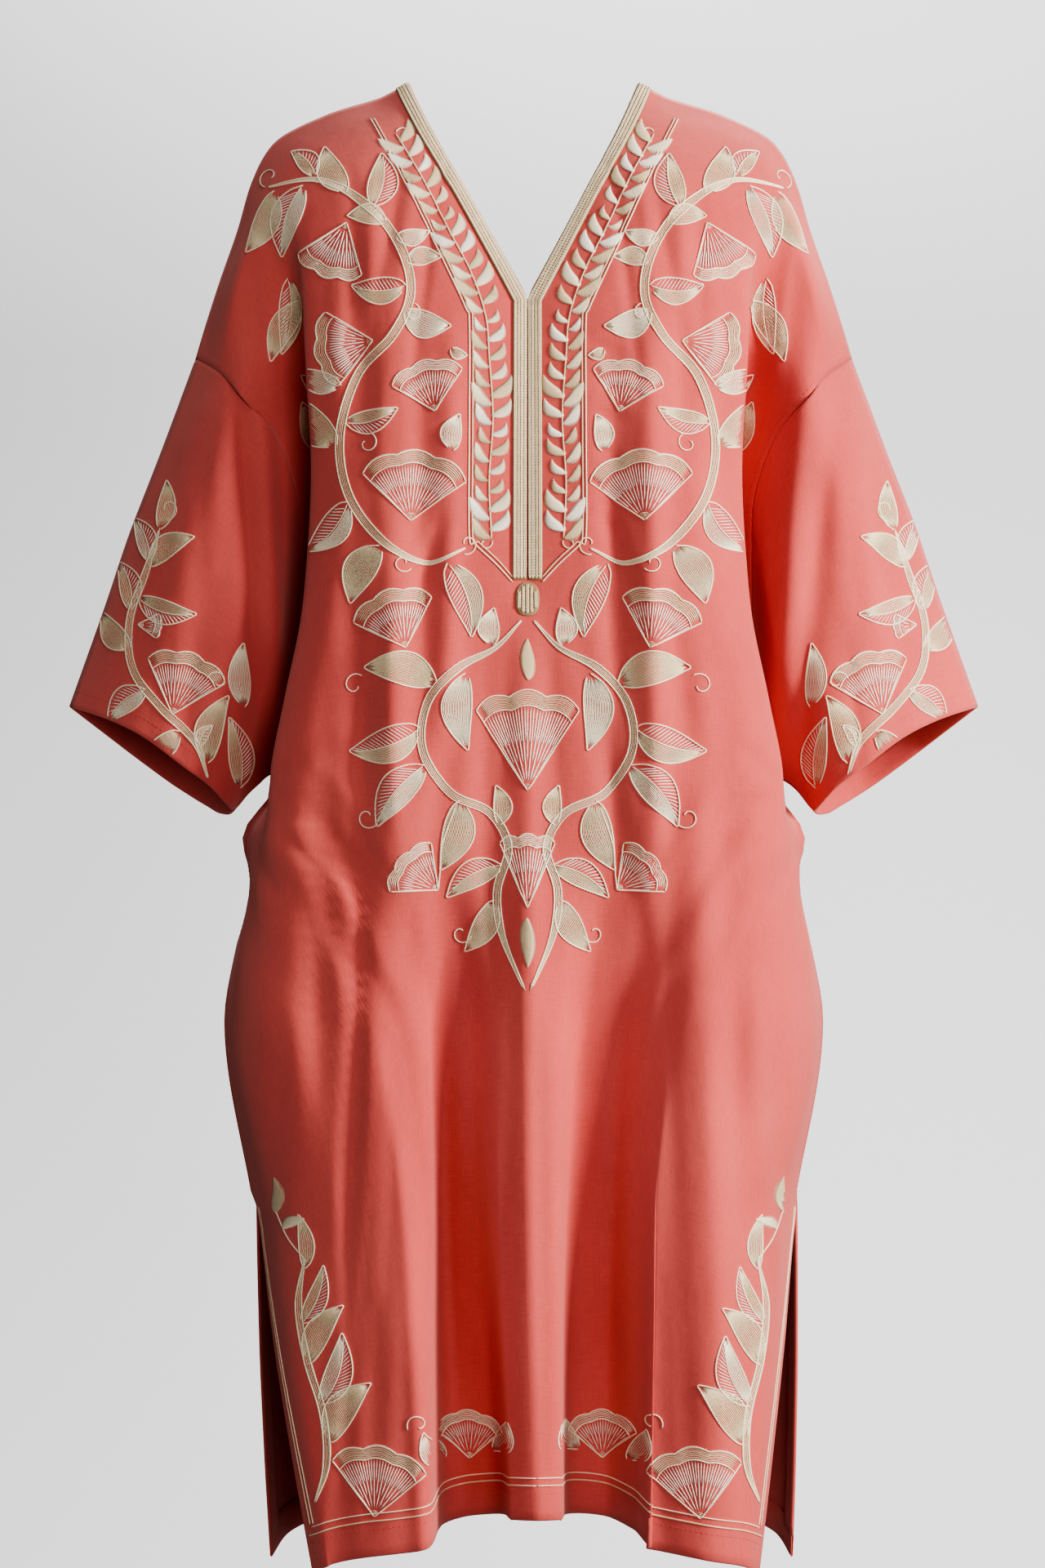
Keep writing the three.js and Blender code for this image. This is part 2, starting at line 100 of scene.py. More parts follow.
MIDDLE_HEIGHT = -0.583
CHEST = (0.0, 0.0, MIDDLE_HEIGHT)
soft_box("key_soft_box", (3.0, -1.7, 0.2), CHEST, (0.7, 1.2), 104, (1.0, 0.98, 0.95))
soft_box("fill_soft_box", (0.7, -3.4, -0.5), CHEST, (1.2, 1.4), 33, (1.0, 0.99, 0.98))
soft_box("left_soft_box", (-2.6, -1.6, -0.8), CHEST, (1.2, 1.6), 7, (1.0, 0.99, 0.98))
soft_box("top_soft_box", (0.1, -1.2, 2.6), CHEST, (1.6, 1.2), 10, (1, 1, 1))
soft_box("back_soft_box", (0.4, 2.7, 1.7), CHEST, (2.6, 0.9), 75, (1, 1, 1))
soft_box("paper_light", (0.8, 0.9, 2.6), (0.0, 3.2, -0.6), (4.0, 1.0), 34, (1, 1, 1))

world = bpy.data.worlds.new("studio_air")
world.use_nodes = True
world.node_tree.nodes["Background"].inputs["Color"].default_value = (1, 1, 1, 1)
seen = world.node_tree.nodes.new("ShaderNodeLightPath")
strength = world.node_tree.nodes.new("ShaderNodeMath")
strength.operation = "MULTIPLY_ADD"
strength.inputs[1].default_value = 0.5
strength.inputs[2].default_value = 0.06
world.node_tree.links.new(seen.outputs["Is Camera Ray"], strength.inputs[0])
world.node_tree.links.new(strength.outputs["Value"], world.node_tree.nodes["Background"].inputs["Strength"])
bpy.context.scene.world = world
bpy.context.scene.view_settings.view_transform = "AgX"
bpy.context.scene.view_settings.look = "AgX - Very High Contrast"
bpy.context.scene.view_settings.exposure = 0.4

CAMERA_DISTANCE = 3.5
PICTURE_HEIGHT = 1.3056
camera_data = bpy.data.cameras.new("camera")
camera_data.sensor_fit = "VERTICAL"
camera_data.sensor_height = 24
camera_data.lens = 24 * CAMERA_DISTANCE / PICTURE_HEIGHT
camera = bpy.data.objects.new("camera", camera_data)
camera.location = (-0.001, -CAMERA_DISTANCE, MIDDLE_HEIGHT)
camera.rotation_euler = (math.pi / 2, 0, 0)
bpy.context.collection.objects.link(camera)
bpy.context.scene.camera = camera

# The front panel: one width of coral plain-woven cloth with a V neck, a slit below it, and
# side slits. It hangs from the shoulders over the chest in soft folds, which deepen to the hem.
MM = 0.001
SEAM_GAP = 0.3
SLIT_GAP = 0.4
CLOTH_THICKNESS = 0.0009
SWAY_AT_CHEST = 3
SWAY_AT_HEM = 11
SWAY_LOST_AT_SIDE = 0.4
NECK_POINT = 0.155
PLACKET_END = 0.34
UNDERARM = 0.47
HIP = 0.63
SLIT_TOP = 0.75
FRONT_HALF_COLUMNS = 102
ROW_STEPS = [48, 50, 22, 28, 34]
HEM_GAP = 0.0014
HEM_ROWS = 4
SLIT_HEM_COLUMNS = 7

# A level's share of the length, its height at the middle and the side, how late it drops
# between them, then nine distances from the centre line and nine depths, in millimetres.
FRONT_LEVELS = [
    (0, 0, -229, 2.2, [96, 101, 117, 165, 208, 226, 238, 255, 273], [0, 0, 0, 0, 0, 0, 0, 0, 0]),
    (0.035, -43, -246, 3, [78, 92, 116, 150, 186, 206, 220, 236, 249], [45, 46, 46, 44, 42, 44, 46, 50, 42]),
    (0.08, -100, -268, 3, [49, 66, 95, 128, 158, 184, 198, 214, 231], [78, 84, 90, 91, 86, 78, 52, 50, 58]),
    (NECK_POINT, -192, -300, 2, [0, 30, 65, 104, 140, 180, 172, 186, 204],
     [106, 114, 120, 121, 110, 88, 34, 24, 42]),
    (0.25, -305, -365, 2, [0, 36, 80, 116, 144, 175, 156, 168, 187],
     [120, 127, 131, 129, 114, 88, 20, 9, 26]),
    (PLACKET_END, -418, -440, 1, [0, 38, 84, 124, 162, 181, 160, 170, 187],
     [126, 131, 134, 131, 115, 87, 18, 6, 20]),
    (0.425, -520, -520, 1, [0, 40, 88, 134, 182, 198, 178, 178, 190],
     [130, 134, 137, 132, 112, 84, 22, 8, 15]),
    (UNDERARM, -580, -580, 1, [0, 42, 93, 144, 194, 209, 197, 196, 203],
     [131, 135, 138, 132, 108, 80, 34, 10, 0]),
    (0.51, -626, -628, 1, [0, 40, 86, 134, 182, 211, 220, 228, 234],
     [131, 136, 136, 134, 118, 92, 52, 22, 0]),
    (0.545, -668, -668, 1, [0, 36, 66, 98, 144, 190, 220, 226, 226],
     [134, 133, 126, 128, 132, 109, 72, 32, 0]),
    (0.585, -722, -722, 1, [0, 33, 58, 86, 120, 156, 208, 236, 240],
     [137, 132, 118, 120, 135, 130, 96, 44, 0]),
    (HIP, -780, -780, 1, [0, 29, 48, 73, 96, 126, 184, 235, 249],
     [141, 133, 111, 109, 129, 142, 128, 66, 0]),
    (SLIT_TOP, -930, -934, 1, [0, 27, 42, 66, 84, 101, 152, 205, 225],
     [143, 134, 106, 97, 120, 147, 140, 84, 0]),
    (0.84, -1022, -1042, 1.4, [0, 27, 38, 62, 81, 96, 146, 192, 209],
     [145, 135, 100, 86, 111, 150, 146, 112, 62]),
    (0.93, -1105, -1136, 1.5, [0, 26, 35, 59, 78, 92, 138, 180, 195],
     [146, 136, 95, 77, 104, 150, 149, 129, 94]),
    (1, -1170, -1217, 1.6, [0, 26, 33, 57, 76, 89, 134, 170, 183],
     [147, 136, 91, 71, 98, 151, 150, 140, 114]),
]


def through(knots, values, places):
    """A smooth curve through values at given knots that never swings past them."""
    knots = np.asarray(knots, float)
    values = np.asarray(values, float)
    places = np.asarray(places, float)
    spread = (slice(None),) + (None,) * (values.ndim - 1)
    slopes = np.diff(values, axis=0) / np.diff(knots)[spread]
    before, after = slopes[:-1], slopes[1:]
    same = before * after > 0
    total = np.where(same, before + after, 1.0)
    inner = np.where(same, 2 * before * after / total, 0.0)
    tangents = np.concatenate([slopes[:1], inner, slopes[-1:]])
    k = np.clip(np.searchsorted(knots, places, side="right") - 1, 0, len(knots) - 2)
    span = (knots[k + 1] - knots[k])[spread]
    s = ((places - knots[k]) / (knots[k + 1] - knots[k]))[spread]
    rest = 1 - s
    return (values[k] * rest * rest * (1 + 2 * s) + values[k + 1] * s * s * (3 - 2 * s)
            + tangents[k] * span * s * rest * rest - tangents[k + 1] * span * s * s * rest)


def sway(across, at):
    """How far the garment hangs to the wearer's left, most at the hem."""
    most = through([0, NECK_POINT, HIP, 1], [0, SWAY_AT_CHEST, SWAY_AT_CHEST, SWAY_AT_HEM], at)[:, None]
    held = ((at > UNDERARM) & (at < SLIT_TOP))[:, None]
    return most * (1 - SWAY_LOST_AT_SIDE * across) * np.where(held, 1 - across ** 4, 1)


def half_panel(levels, facing, side, across, at):
    """Points of a half panel, rows down its length and columns from its middle to its side edge."""
    knots = [level[0] for level in levels]
    columns = np.linspace(0, 1, len(levels[0][4]))
    edges = [level[4][0] for level in levels]
    upper = knots.index(NECK_POINT) + 1
    out = through(knots, [through(columns, level[4], across) for level in levels], at)
    depth = through(knots, [through(columns, level[5], across) for level in levels], at)
    height = through(knots, [level[1] + (level[2] - level[1]) * across ** level[3] for level in levels], at)
    straight = through(knots[:upper], edges[:upper], np.minimum(at, NECK_POINT))
    correction = np.where(at < NECK_POINT, straight - through(knots, edges, at), 0)
    out += correction[:, None] * (1 - across) ** 3
    x = side * np.maximum(out, SLIT_GAP / 2) + sway(across[None, :], at)
    return np.stack([x, facing * (depth + SEAM_GAP / 2), height], axis=2) * MM


def relaxed(points, passes):
    """The grid with its kinks eased out; its four edges stay."""
    for _ in range(passes):
        across = 0.5 * (points[1:-1, :-2] + points[1:-1, 2:])
        down = 0.5 * (points[:-2, 1:-1] + points[2:, 1:-1])
        points[1:-1, 1:-1] = 0.4 * points[1:-1, 1:-1] + 0.3 * across + 0.3 * down
    return points


def grid_normals(points, outward):
    """Unit normals of a grid of points, on the side that outward names."""
    down = np.gradient(points, axis=0)
    across = np.gradient(points, axis=1)
    normals = np.cross(down, across) * outward
    return normals / np.maximum(np.linalg.norm(normals, axis=2, keepdims=True), 1e-12)


def press_creases(points, outward, creases):
    """Soft troughs and ridges: each runs from one front-view point to another and fades at its ends.

    A row is start x, start z, end x, end z, bow, width, depth, in millimetres; a ridge's depth is below 0."""
    normals = grid_normals(points, outward)
    shift = np.zeros(points.shape[:2])
    for x0, z0, x1, z1, bow, width, depth in creases:
        start, end = np.array([x0, z0]) * MM, np.array([x1, z1]) * MM
        way = end - start
        length = np.linalg.norm(way)
        way = way / length
        offset = points[:, :, [0, 2]] - start
        along = offset @ way / length
        side = offset @ np.array([-way[1], way[0]])
        side -= bow * MM * 4 * along * (1 - along)
        fade = np.clip(along, 0, 1) * np.clip(1 - along, 0, 1) * 4
        fade = np.where((along > 0) & (along < 1), fade ** 0.7, 0)
        shift -= depth * MM * fade * np.exp(-((side / (width * MM)) ** 2))
    points += normals * shift[:, :, None]


def cloth_object(name, grids, facings):
    """One mesh from grids of points; each grid has a UV map in metres of cloth."""
    points, faces, uvs = [], [], []
    start = 0
    for grid, facing in zip(grids, facings):
        rows, columns = grid.shape[:2]
        index = start + np.arange(rows * columns).reshape(rows, columns)
        corners = [index[:-1, :-1], index[1:, :-1], index[1:, 1:], index[:-1, 1:]]
        faces.append(np.stack(corners[::facing], axis=2).reshape(-1, 4))
        steps_across = np.linalg.norm(np.diff(grid, axis=1), axis=2)
        steps_down = np.linalg.norm(np.diff(grid, axis=0), axis=2)
        u = np.concatenate([np.zeros((rows, 1)), np.cumsum(steps_across, axis=1)], axis=1)
        v = np.concatenate([np.zeros((1, columns)), np.cumsum(steps_down, axis=0)], axis=0)
        uvs.append(np.stack([u, v], axis=2).reshape(-1, 2))
        points.append(grid.reshape(-1, 3))
        start += rows * columns
    points, faces, uvs = np.concatenate(points), np.concatenate(faces), np.concatenate(uvs)
    mesh = bpy.data.meshes.new(name)
    mesh.from_pydata(points.tolist(), [], faces.tolist())
    layer = mesh.uv_layers.new(name="cloth")
    layer.data.foreach_set("uv", uvs[faces.reshape(-1)].reshape(-1))
    mesh.shade_smooth()
    mesh.materials.append(CORAL)
    piece = bpy.data.objects.new(name, mesh)
    bpy.context.collection.objects.link(piece)
    return piece


def apply_modifier(piece, modifier):
    bpy.ops.object.select_all(action="DESELECT")
    piece.select_set(True)
    bpy.context.view_layer.objects.active = piece
    bpy.ops.object.modifier_apply(modifier=modifier.name)
    piece.select_set(False)


def weld(piece):
    modifier = piece.modifiers.new("weld", "WELD")
    modifier.merge_threshold = 0.00002
    apply_modifier(piece, modifier)


def give_thickness(piece, thickness):
    modifier = piece.modifiers.new("thickness", "SOLIDIFY")
    modifier.thickness = thickness
    modifier.offset = 0
    apply_modifier(piece, modifier)


FRONT_CREASES = [
    (-62, -70, -82, -205, -3, 5, 1.8), (-84, -60, -104, -230, -2, 6, -1.8),
    (-100, -78, -120, -190, 2, 5, 1.8),
    (-122, -90, -128, -230, 2, 6, -1.6), (-140, -80, -142, -240, 3, 6, 1.8),
    (-72, -130, -92, -280, -2, 5, 1.6),
    (66, -70, 86, -200, 3, 5, 1.8), (90, -60, 108, -240, 2, 6, -1.8), (108, -90, 126, -200, -3, 5, 1.6),
    (128, -84, 134, -230, -3, 6, -1.6), (144, -90, 148, -250, -3, 6, 1.7), (76, -140, 96, -290, 2, 5, 1.5),
    (-56, -330, -104, -470, 6, 8, 2.0), (-74, -350, -126, -520, 6, 8, -2.0),
    (-40, -450, -84, -660, 5, 10, 2.2),
    (-96, -420, -150, -640, -6, 12, 2.6), (-60, -440, -104, -690, 4, 9, -2.0),
    (60, -330, 104, -460, -6, 8, 1.9), (78, -350, 128, -510, -6, 8, -1.9), (44, -450, 92, -680, -5, 10, 2.1),
    (100, -420, 152, -650, 8, 12, 2.8), (64, -450, 110, -700, -4, 9, -2.0),
    (-14, -470, -22, -640, 3, 7, 1.4), (22, -470, 30, -620, -2, 7, 1.3), (4, -520, 2, -700, 2, 8, -1.2),
    (-156, -478, -184, -940, 4, 12, 4.0), (-140, -452, -162, -1030, 5, 9, -3.2),
    (-124, -510, -146, -980, 4, 9, 2.8),
    (-117, -600, -141, -1040, 3, 5, -2.2), (-100, -576, -110, -1010, 2, 9, 2.6),
    (-87, -700, -84, -1170, 2, 8, -2.4),
    (-48, -600, -46, -880, 0, 20, 5.0), (-18, -640, -20, -940, 0, 8, -1.5),
    (-196, -720, -208, -960, 4, 10, 3.0),
    (68, -600, 68, -880, 0, 21, 5.0), (-20, -620, -18, -1500, 0, 14, 7.0), (-66, -640, -58, -1500, 0, 8, 4.0),
    (-84, -560, -78, -1500, 0, 9, -4.0), (-150, -540, -152, -1500, 0, 32, 14.0),
    (104, -640, 104, -1500, 0, 20, 9.0),
    (146, -600, 150, -1500, 0, 22, -6.0), (42, -600, 45, -1500, 0, 17, 9.0),
    (116, -540, 126, -1010, -3, 9, 2.7),
    (142, -478, 156, -1040, -4, 10, -3.2), (162, -478, 180, -975, -5, 12, 4.0),
    (184, -690, 194, -950, -3, 7, -2.2),
    (205, -720, 212, -950, -4, 9, 2.8), (12, -760, 16, -1160, 2, 7, 1.6),
    (128, -980, 138, -1190, -3, 10, 2.4),
    (-118, -990, -126, -1195, 3, 9, 2.4), (-150, -960, -166, -1190, 3, 8, -2.0),
    (154, -960, 166, -1190, -3, 8, -2.0),
    (-207, -588, -168, -556, 3, 4, 2.6), (-211, -602, -160, -598, -3, 4, 3.0),
    (-216, -614, -176, -642, 3, 4, 2.8),
    (-226, -628, -196, -672, -3, 4, 2.4), (-214, -608, -168, -622, 2, 4, -2.2),
    (209, -588, 170, -552, -3, 4, 2.6),
    (213, -602, 162, -600, 3, 4, 3.0), (218, -614, 178, -646, -3, 4, 2.8), (228, -628, 198, -676, 3, 4, 2.4),
    (216, -608, 170, -624, -2, 4, -2.2), (-200, -90, -186, -260, 5, 7, 2.2),
    (202, -90, 190, -250, -5, 7, 2.2),
    (-222, -120, -206, -300, 5, 6, -1.8), (224, -120, 208, -290, -5, 6, -1.8),
    (-58, -200, -60, -560, 0, 10, -5.0), (-84, -200, -80, -560, 0, 10, 4.0),
    (100, -200, 108, -720, 0, 12, -9.0),
    (70, -220, 74, -660, 0, 12, 6.0), (-106, -350, -100, -800, 0, 12, -8.0),
    (-138, -350, -136, -760, 0, 12, 6.0),
    (2, -430, 4, -800, 0, 12, -6.0), (-30, -450, -30, -780, 0, 12, 5.0),
    (-150, -150, -144, -420, 0, 10, -3.0),
    (150, -150, 142, -400, 0, 11, -3.0), (128, -160, 126, -380, 0, 9, 2.6),
    (-128, -170, -124, -400, 0, 9, 2.4),
    (-50, -236, -74, -240, 0, 3, 1.4), (-50, -262, -78, -268, 0, 3, 1.5), (-50, -291, -72, -296, 0, 3, 1.3),
    (-50, -318, -80, -322, 0, 3, 1.5), (-50, -346, -74, -352, 0, 3, 1.4), (-50, -372, -76, -380, 0, 3, 1.5),
    (54, -232, 80, -236, 0, 3, 1.4), (54, -258, 78, -264, 0, 3, 1.3), (54, -286, 84, -291, 0, 3, 1.5),
    (54, -314, 78, -319, 0, 3, 1.4), (54, -341, 82, -347, 0, 3, 1.5), (54, -369, 78, -376, 0, 3, 1.3),
    (-176, -560, -110, -640, 6, 8, -2.8), (-182, -590, -120, -700, 6, 9, 2.6),
    (180, -560, 116, -650, -6, 8, -2.8),
    (186, -590, 126, -710, -6, 9, 2.6), (-190, -640, -150, -780, 8, 8, -2.4),
    (194, -640, 156, -790, -8, 8, -2.4),
]


def turned_edge(points, normals):
    """A hem beyond the last column: the cloth turns to the inside there and runs back under itself."""
    inside = (points - normals * HEM_GAP)[:, ::-1]
    away = points[:, -1] - points[:, -2]
    away /= np.linalg.norm(away, axis=1, keepdims=True)
    fold = points[:, -1] - normals[:, -1] * HEM_GAP / 2 + away * HEM_GAP / 2
    return np.concatenate([points[:, -1:], fold[:, None], inside], axis=1)


def panel_grids(levels, facing, creases, join_at, half_columns):
    """Both halves of a panel; below join_at they share the centre line."""
    across = np.concatenate([np.linspace(0, 0.97, half_columns - 3), [0.9775, 0.985, 0.9925, 1]])
    grids = []
    for side in (-1, 1):
        grid = half_panel(levels, facing, side, across, PANEL_ROWS)
        joined = PANEL_ROWS >= join_at
        grid[joined, 0, 0] = sway(np.zeros((1, 1)), PANEL_ROWS[joined])[:, 0] * MM
        relaxed(grid, 3)
        press_creases(grid, -side * facing, creases)
        grids.append(grid)
    centre = 0.5 * (grids[0][joined, 1] + grids[1][joined, 1])
    for grid in grids:
        grid[joined, 0] = centre
    return grids


def panel_object(name, grids, facing):
    """The halves of a panel with its turned-up hem and the hems of its side slits, as one cloth."""
    sheets, facings = [], []
    for side, grid in zip((-1, 1), grids):
        normals = grid_normals(grid, -side * facing)
        bottom = turned_edge(grid[-HEM_ROWS:].swapaxes(0, 1), normals[-HEM_ROWS:].swapaxes(0, 1))
        slit = slice(SLIT_ROW, -2)
        strip = turned_edge(grid[slit, -SLIT_HEM_COLUMNS:], normals[slit, -SLIT_HEM_COLUMNS:] * 1.6)
        sheets += [grid, bottom.swapaxes(0, 1), strip]
        facings += [-side * facing] * 3
    panel = cloth_object(name, sheets, facings)
    weld(panel)
    give_thickness(panel, CLOTH_THICKNESS)
    return panel


row_ends = [0, NECK_POINT, PLACKET_END, UNDERARM, SLIT_TOP, 1]
row_parts = [np.linspace(low, high, steps, endpoint=False)
             for low, high, steps in zip(row_ends, row_ends[1:], ROW_STEPS)]
PANEL_ROWS = np.concatenate(row_parts + [[1.0]])
NECK_ROW, PLACKET_ROW, UNDERARM_ROW, SLIT_ROW = np.cumsum(ROW_STEPS[:4])


def new_group(name, outputs):
    """A node group that gives only what varies over a surface."""
    group = bpy.data.node_groups.new(name, "ShaderNodeTree")
    for label, kind in outputs:
        group.interface.new_socket(name=label, in_out="OUTPUT", socket_type=kind)
    return group, group.nodes.new("NodeGroupOutput")


def noise_of(group, coordinates, scale, detail, stretch):
    mapping = group.nodes.new("ShaderNodeMapping")
    mapping.inputs["Scale"].default_value = stretch
    noise = group.nodes.new("ShaderNodeTexNoise")
    noise.inputs["Scale"].default_value = scale
    noise.inputs["Detail"].default_value = detail
    group.links.new(coordinates, mapping.inputs["Vector"])
    group.links.new(mapping.outputs["Vector"], noise.inputs["Vector"])
    return noise.outputs["Fac"]


def ramp_of(group, factor, stops):
    ramp = group.nodes.new("ShaderNodeValToRGB")
    while len(ramp.color_ramp.elements) < len(stops):
        ramp.color_ramp.elements.new(0.5)
    for element, (place, colour) in zip(ramp.color_ramp.elements, stops):
        element.position = place
        element.color = (*colour, 1)
    group.links.new(factor, ramp.inputs["Fac"])
    return ramp.outputs["Color"]


def math_of(group, operation, first, second):
    node = group.nodes.new("ShaderNodeMath")
    node.operation = operation
    for socket, value in zip(node.inputs, (first, second)):
        if isinstance(value, (int, float)):
            socket.default_value = value
        else:
            group.links.new(value, socket)
    return node.outputs["Value"]


def coral_weave():
    """Piece-dyed plain weave: fine uneven warp and weft, and a soft washed-out mottle."""
    group, out = new_group("coral_weave", [("Color", "NodeSocketColor"), ("Roughness", "NodeSocketFloat"),
                                           ("Height", "NodeSocketFloat"), ("Crumple", "NodeSocketFloat")])
    weave = group.nodes.new("ShaderNodeUVMap")
    weave.uv_map = "cloth"
    place = group.nodes.new("ShaderNodeTexCoord")
    warp = noise_of(group, weave.outputs["UV"], 1.0, 3, (1500, 70, 1))
    weft = noise_of(group, weave.outputs["UV"], 1.0, 3, (70, 1500, 1))
    mottle = noise_of(group, place.outputs["Object"], 9.0, 4, (1, 1, 0.6))
    threads_sum = math_of(group, "ADD", warp, weft)
    threads_half = math_of(group, "MULTIPLY", threads_sum, 0.5)
    fine = math_of(group, "MULTIPLY", threads_half, 0.55)
    broad = math_of(group, "MULTIPLY", mottle, 0.45)
    tone = math_of(group, "ADD", fine, broad)
    colour = ramp_of(group, tone, [(0.32, (0.50, 0.092, 0.082)), (0.50, (0.61, 0.120, 0.105)),
                                   (0.68, (0.70, 0.152, 0.130))])
    group.links.new(colour, out.inputs["Color"])
    group.links.new(math_of(group, "ADD", math_of(group, "MULTIPLY", threads_half, 0.2), 0.74),
                    out.inputs["Roughness"])
    group.links.new(threads_half, out.inputs["Height"])
    group.links.new(noise_of(group, place.outputs["Object"], 17.0, 5, (1, 1, 0.4)), out.inputs["Crumple"])
    return group


def coral_cloth():
    material = bpy.data.materials.new("coral_cloth")
    material.use_nodes = True
    tree = material.node_tree
    shader = tree.nodes["Principled BSDF"]
    weave = tree.nodes.new("ShaderNodeGroup")
    weave.node_tree = coral_weave()
    bump = tree.nodes.new("ShaderNodeBump")
    bump.inputs["Strength"].default_value = 0.35
    bump.inputs["Distance"].default_value = 0.0004
    tree.links.new(weave.outputs["Height"], bump.inputs["Height"])
    crumple = tree.nodes.new("ShaderNodeBump")
    crumple.inputs["Strength"].default_value = 0.55
    crumple.inputs["Distance"].default_value = 0.0035
    tree.links.new(weave.outputs["Crumple"], crumple.inputs["Height"])
    tree.links.new(crumple.outputs["Normal"], bump.inputs["Normal"])
    tree.links.new(bump.outputs["Normal"], shader.inputs["Normal"])
    tree.links.new(weave.outputs["Color"], shader.inputs["Base Color"])
    tree.links.new(weave.outputs["Roughness"], shader.inputs["Roughness"])
    shader.inputs["Specular IOR Level"].default_value = 0.35
    shader.inputs["Sheen Weight"].default_value = 0.25
    shader.inputs["Sheen Roughness"].default_value = 0.6
    shader.inputs["Sheen Tint"].default_value = (1.0, 0.78, 0.7, 1)
    return material


CORAL = coral_cloth()

front_grids = panel_grids(FRONT_LEVELS, -1, FRONT_CREASES, PLACKET_END, FRONT_HALF_COLUMNS)
front_cloth = panel_object("front_cloth", front_grids, -1)
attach(front_cloth, "root")
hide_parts("front_panel")

# The back panel: one width of the same cloth with a scooped neck and no centre seam. It hangs
# from the shoulders over the blades in soft folds, and reaches a little lower than the front.
BACK_HALF_COLUMNS = 64
BACK_LEVELS = [
    (0, 0, -229, 2.2, [96, 101, 117, 165, 208, 226, 238, 255, 273], [0, 0, 0, 0, 0, 0, 0, 0, 0]),
    (0.035, -40, -244, 3, [91, 101, 120, 152, 188, 208, 222, 238, 251], [40, 41, 42, 42, 40, 40, 41, 42, 37]),
    (0.08, -105, -264, 2.6, [70, 82, 104, 134, 164, 188, 204, 220, 236],
     [74, 77, 80, 82, 78, 72, 58, 50, 50]),
    (NECK_POINT, -176, -300, 1.4, [0, 32, 66, 102, 138, 172, 186, 198, 212],
     [97, 100, 105, 108, 102, 86, 56, 36, 38]),
    (0.25, -300, -365, 1.6, [0, 36, 78, 116, 150, 178, 178, 184, 195],
     [112, 115, 118, 116, 106, 84, 50, 24, 18]),
    (PLACKET_END, -418, -440, 1, [0, 38, 82, 124, 162, 186, 188, 187, 193],
     [114, 117, 120, 118, 106, 82, 50, 22, 6]),
    (0.425, -520, -520, 1, [0, 40, 86, 132, 176, 200, 200, 194, 194],
     [112, 116, 119, 118, 104, 78, 50, 24, 2]),
    (UNDERARM, -580, -580, 1, [0, 42, 90, 138, 184, 208, 211, 206, 203],
     [112, 116, 119, 118, 104, 78, 50, 24, 0]),
    (0.51, -626, -628, 1, [0, 43, 90, 134, 176, 204, 220, 229, 234],
     [113, 117, 119, 119, 110, 90, 56, 26, 0]),
    (0.545, -668, -668, 1, [0, 43, 82, 118, 154, 188, 214, 226, 226],
     [115, 118, 120, 120, 114, 100, 70, 34, 0]),
    (0.585, -722, -722, 1, [0, 41, 72, 104, 136, 170, 206, 234, 240],
     [119, 121, 121, 120, 121, 116, 90, 46, 0]),
    (HIP, -782, -780, 1, [0, 40, 64, 90, 118, 152, 196, 236, 249],
     [124, 125, 118, 117, 123, 126, 108, 60, 0]),
    (SLIT_TOP, -944, -934, 1, [0, 40, 64, 88, 114, 146, 186, 214, 225],
     [126, 124, 108, 98, 112, 128, 112, 66, 0]),
    (0.84, -1038, -1046, 1.6, [0, 38, 60, 84, 108, 140, 186, 216, 226],
     [128, 124, 100, 86, 106, 130, 120, 78, 30]),
    (0.93, -1126, -1152, 2, [0, 37, 57, 81, 104, 136, 184, 214, 224],
     [129, 124, 95, 78, 102, 131, 124, 88, 46]),
    (1, -1192, -1236, 2.4, [0, 36, 55, 79, 102, 134, 182, 211, 221],
     [130, 124, 92, 73, 99, 132, 126, 94, 58]),
]
BACK_CREASES = [
    (-70, -90, -96, -220, 4, 8, 1.8), (74, -96, 90, -240, -4, 8, 1.7), (-120, -110, -150, -260, 5, 9, -1.8),
    (118, -120, 146, -280, -5, 9, -1.7), (-20, -220, -30, -420, 4, 10, 1.6), (34, -210, 26, -400, -4, 9, 1.5),
    (-60, -300, -104, -520, 6, 11, 2.2), (66, -320, 100, -500, -6, 11, 2.0),
    (-110, -440, -150, -640, 6, 10, -2.2),
    (108, -430, 146, -660, -6, 10, -2.3), (-10, -520, -16, -720, 3, 9, 1.4), (42, -540, 60, -760, -4, 9, 1.6),
    (-64, -560, -80, -780, 4, 10, 1.8), (-150, -600, -180, -860, 8, 15, 2.8),
    (150, -620, 182, -880, -8, 15, 3.0),
    (-96, -820, -108, -1180, 4, 9, 1.8), (126, -840, 136, -1190, -4, 9, 1.9),
    (12, -860, 16, -1180, 3, 8, 1.5),
    (-30, -900, -34, -1160, -3, 7, -1.4), (170, -900, 190, -1200, 4, 10, 2.0),
    (-176, -900, -196, -1190, -4, 10, 2.2),
]
back_grids = panel_grids(BACK_LEVELS, 1, BACK_CREASES, NECK_POINT, BACK_HALF_COLUMNS)
back_cloth = panel_object("back_cloth", back_grids, 1)
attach(back_cloth, "root")
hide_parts("back_panel")

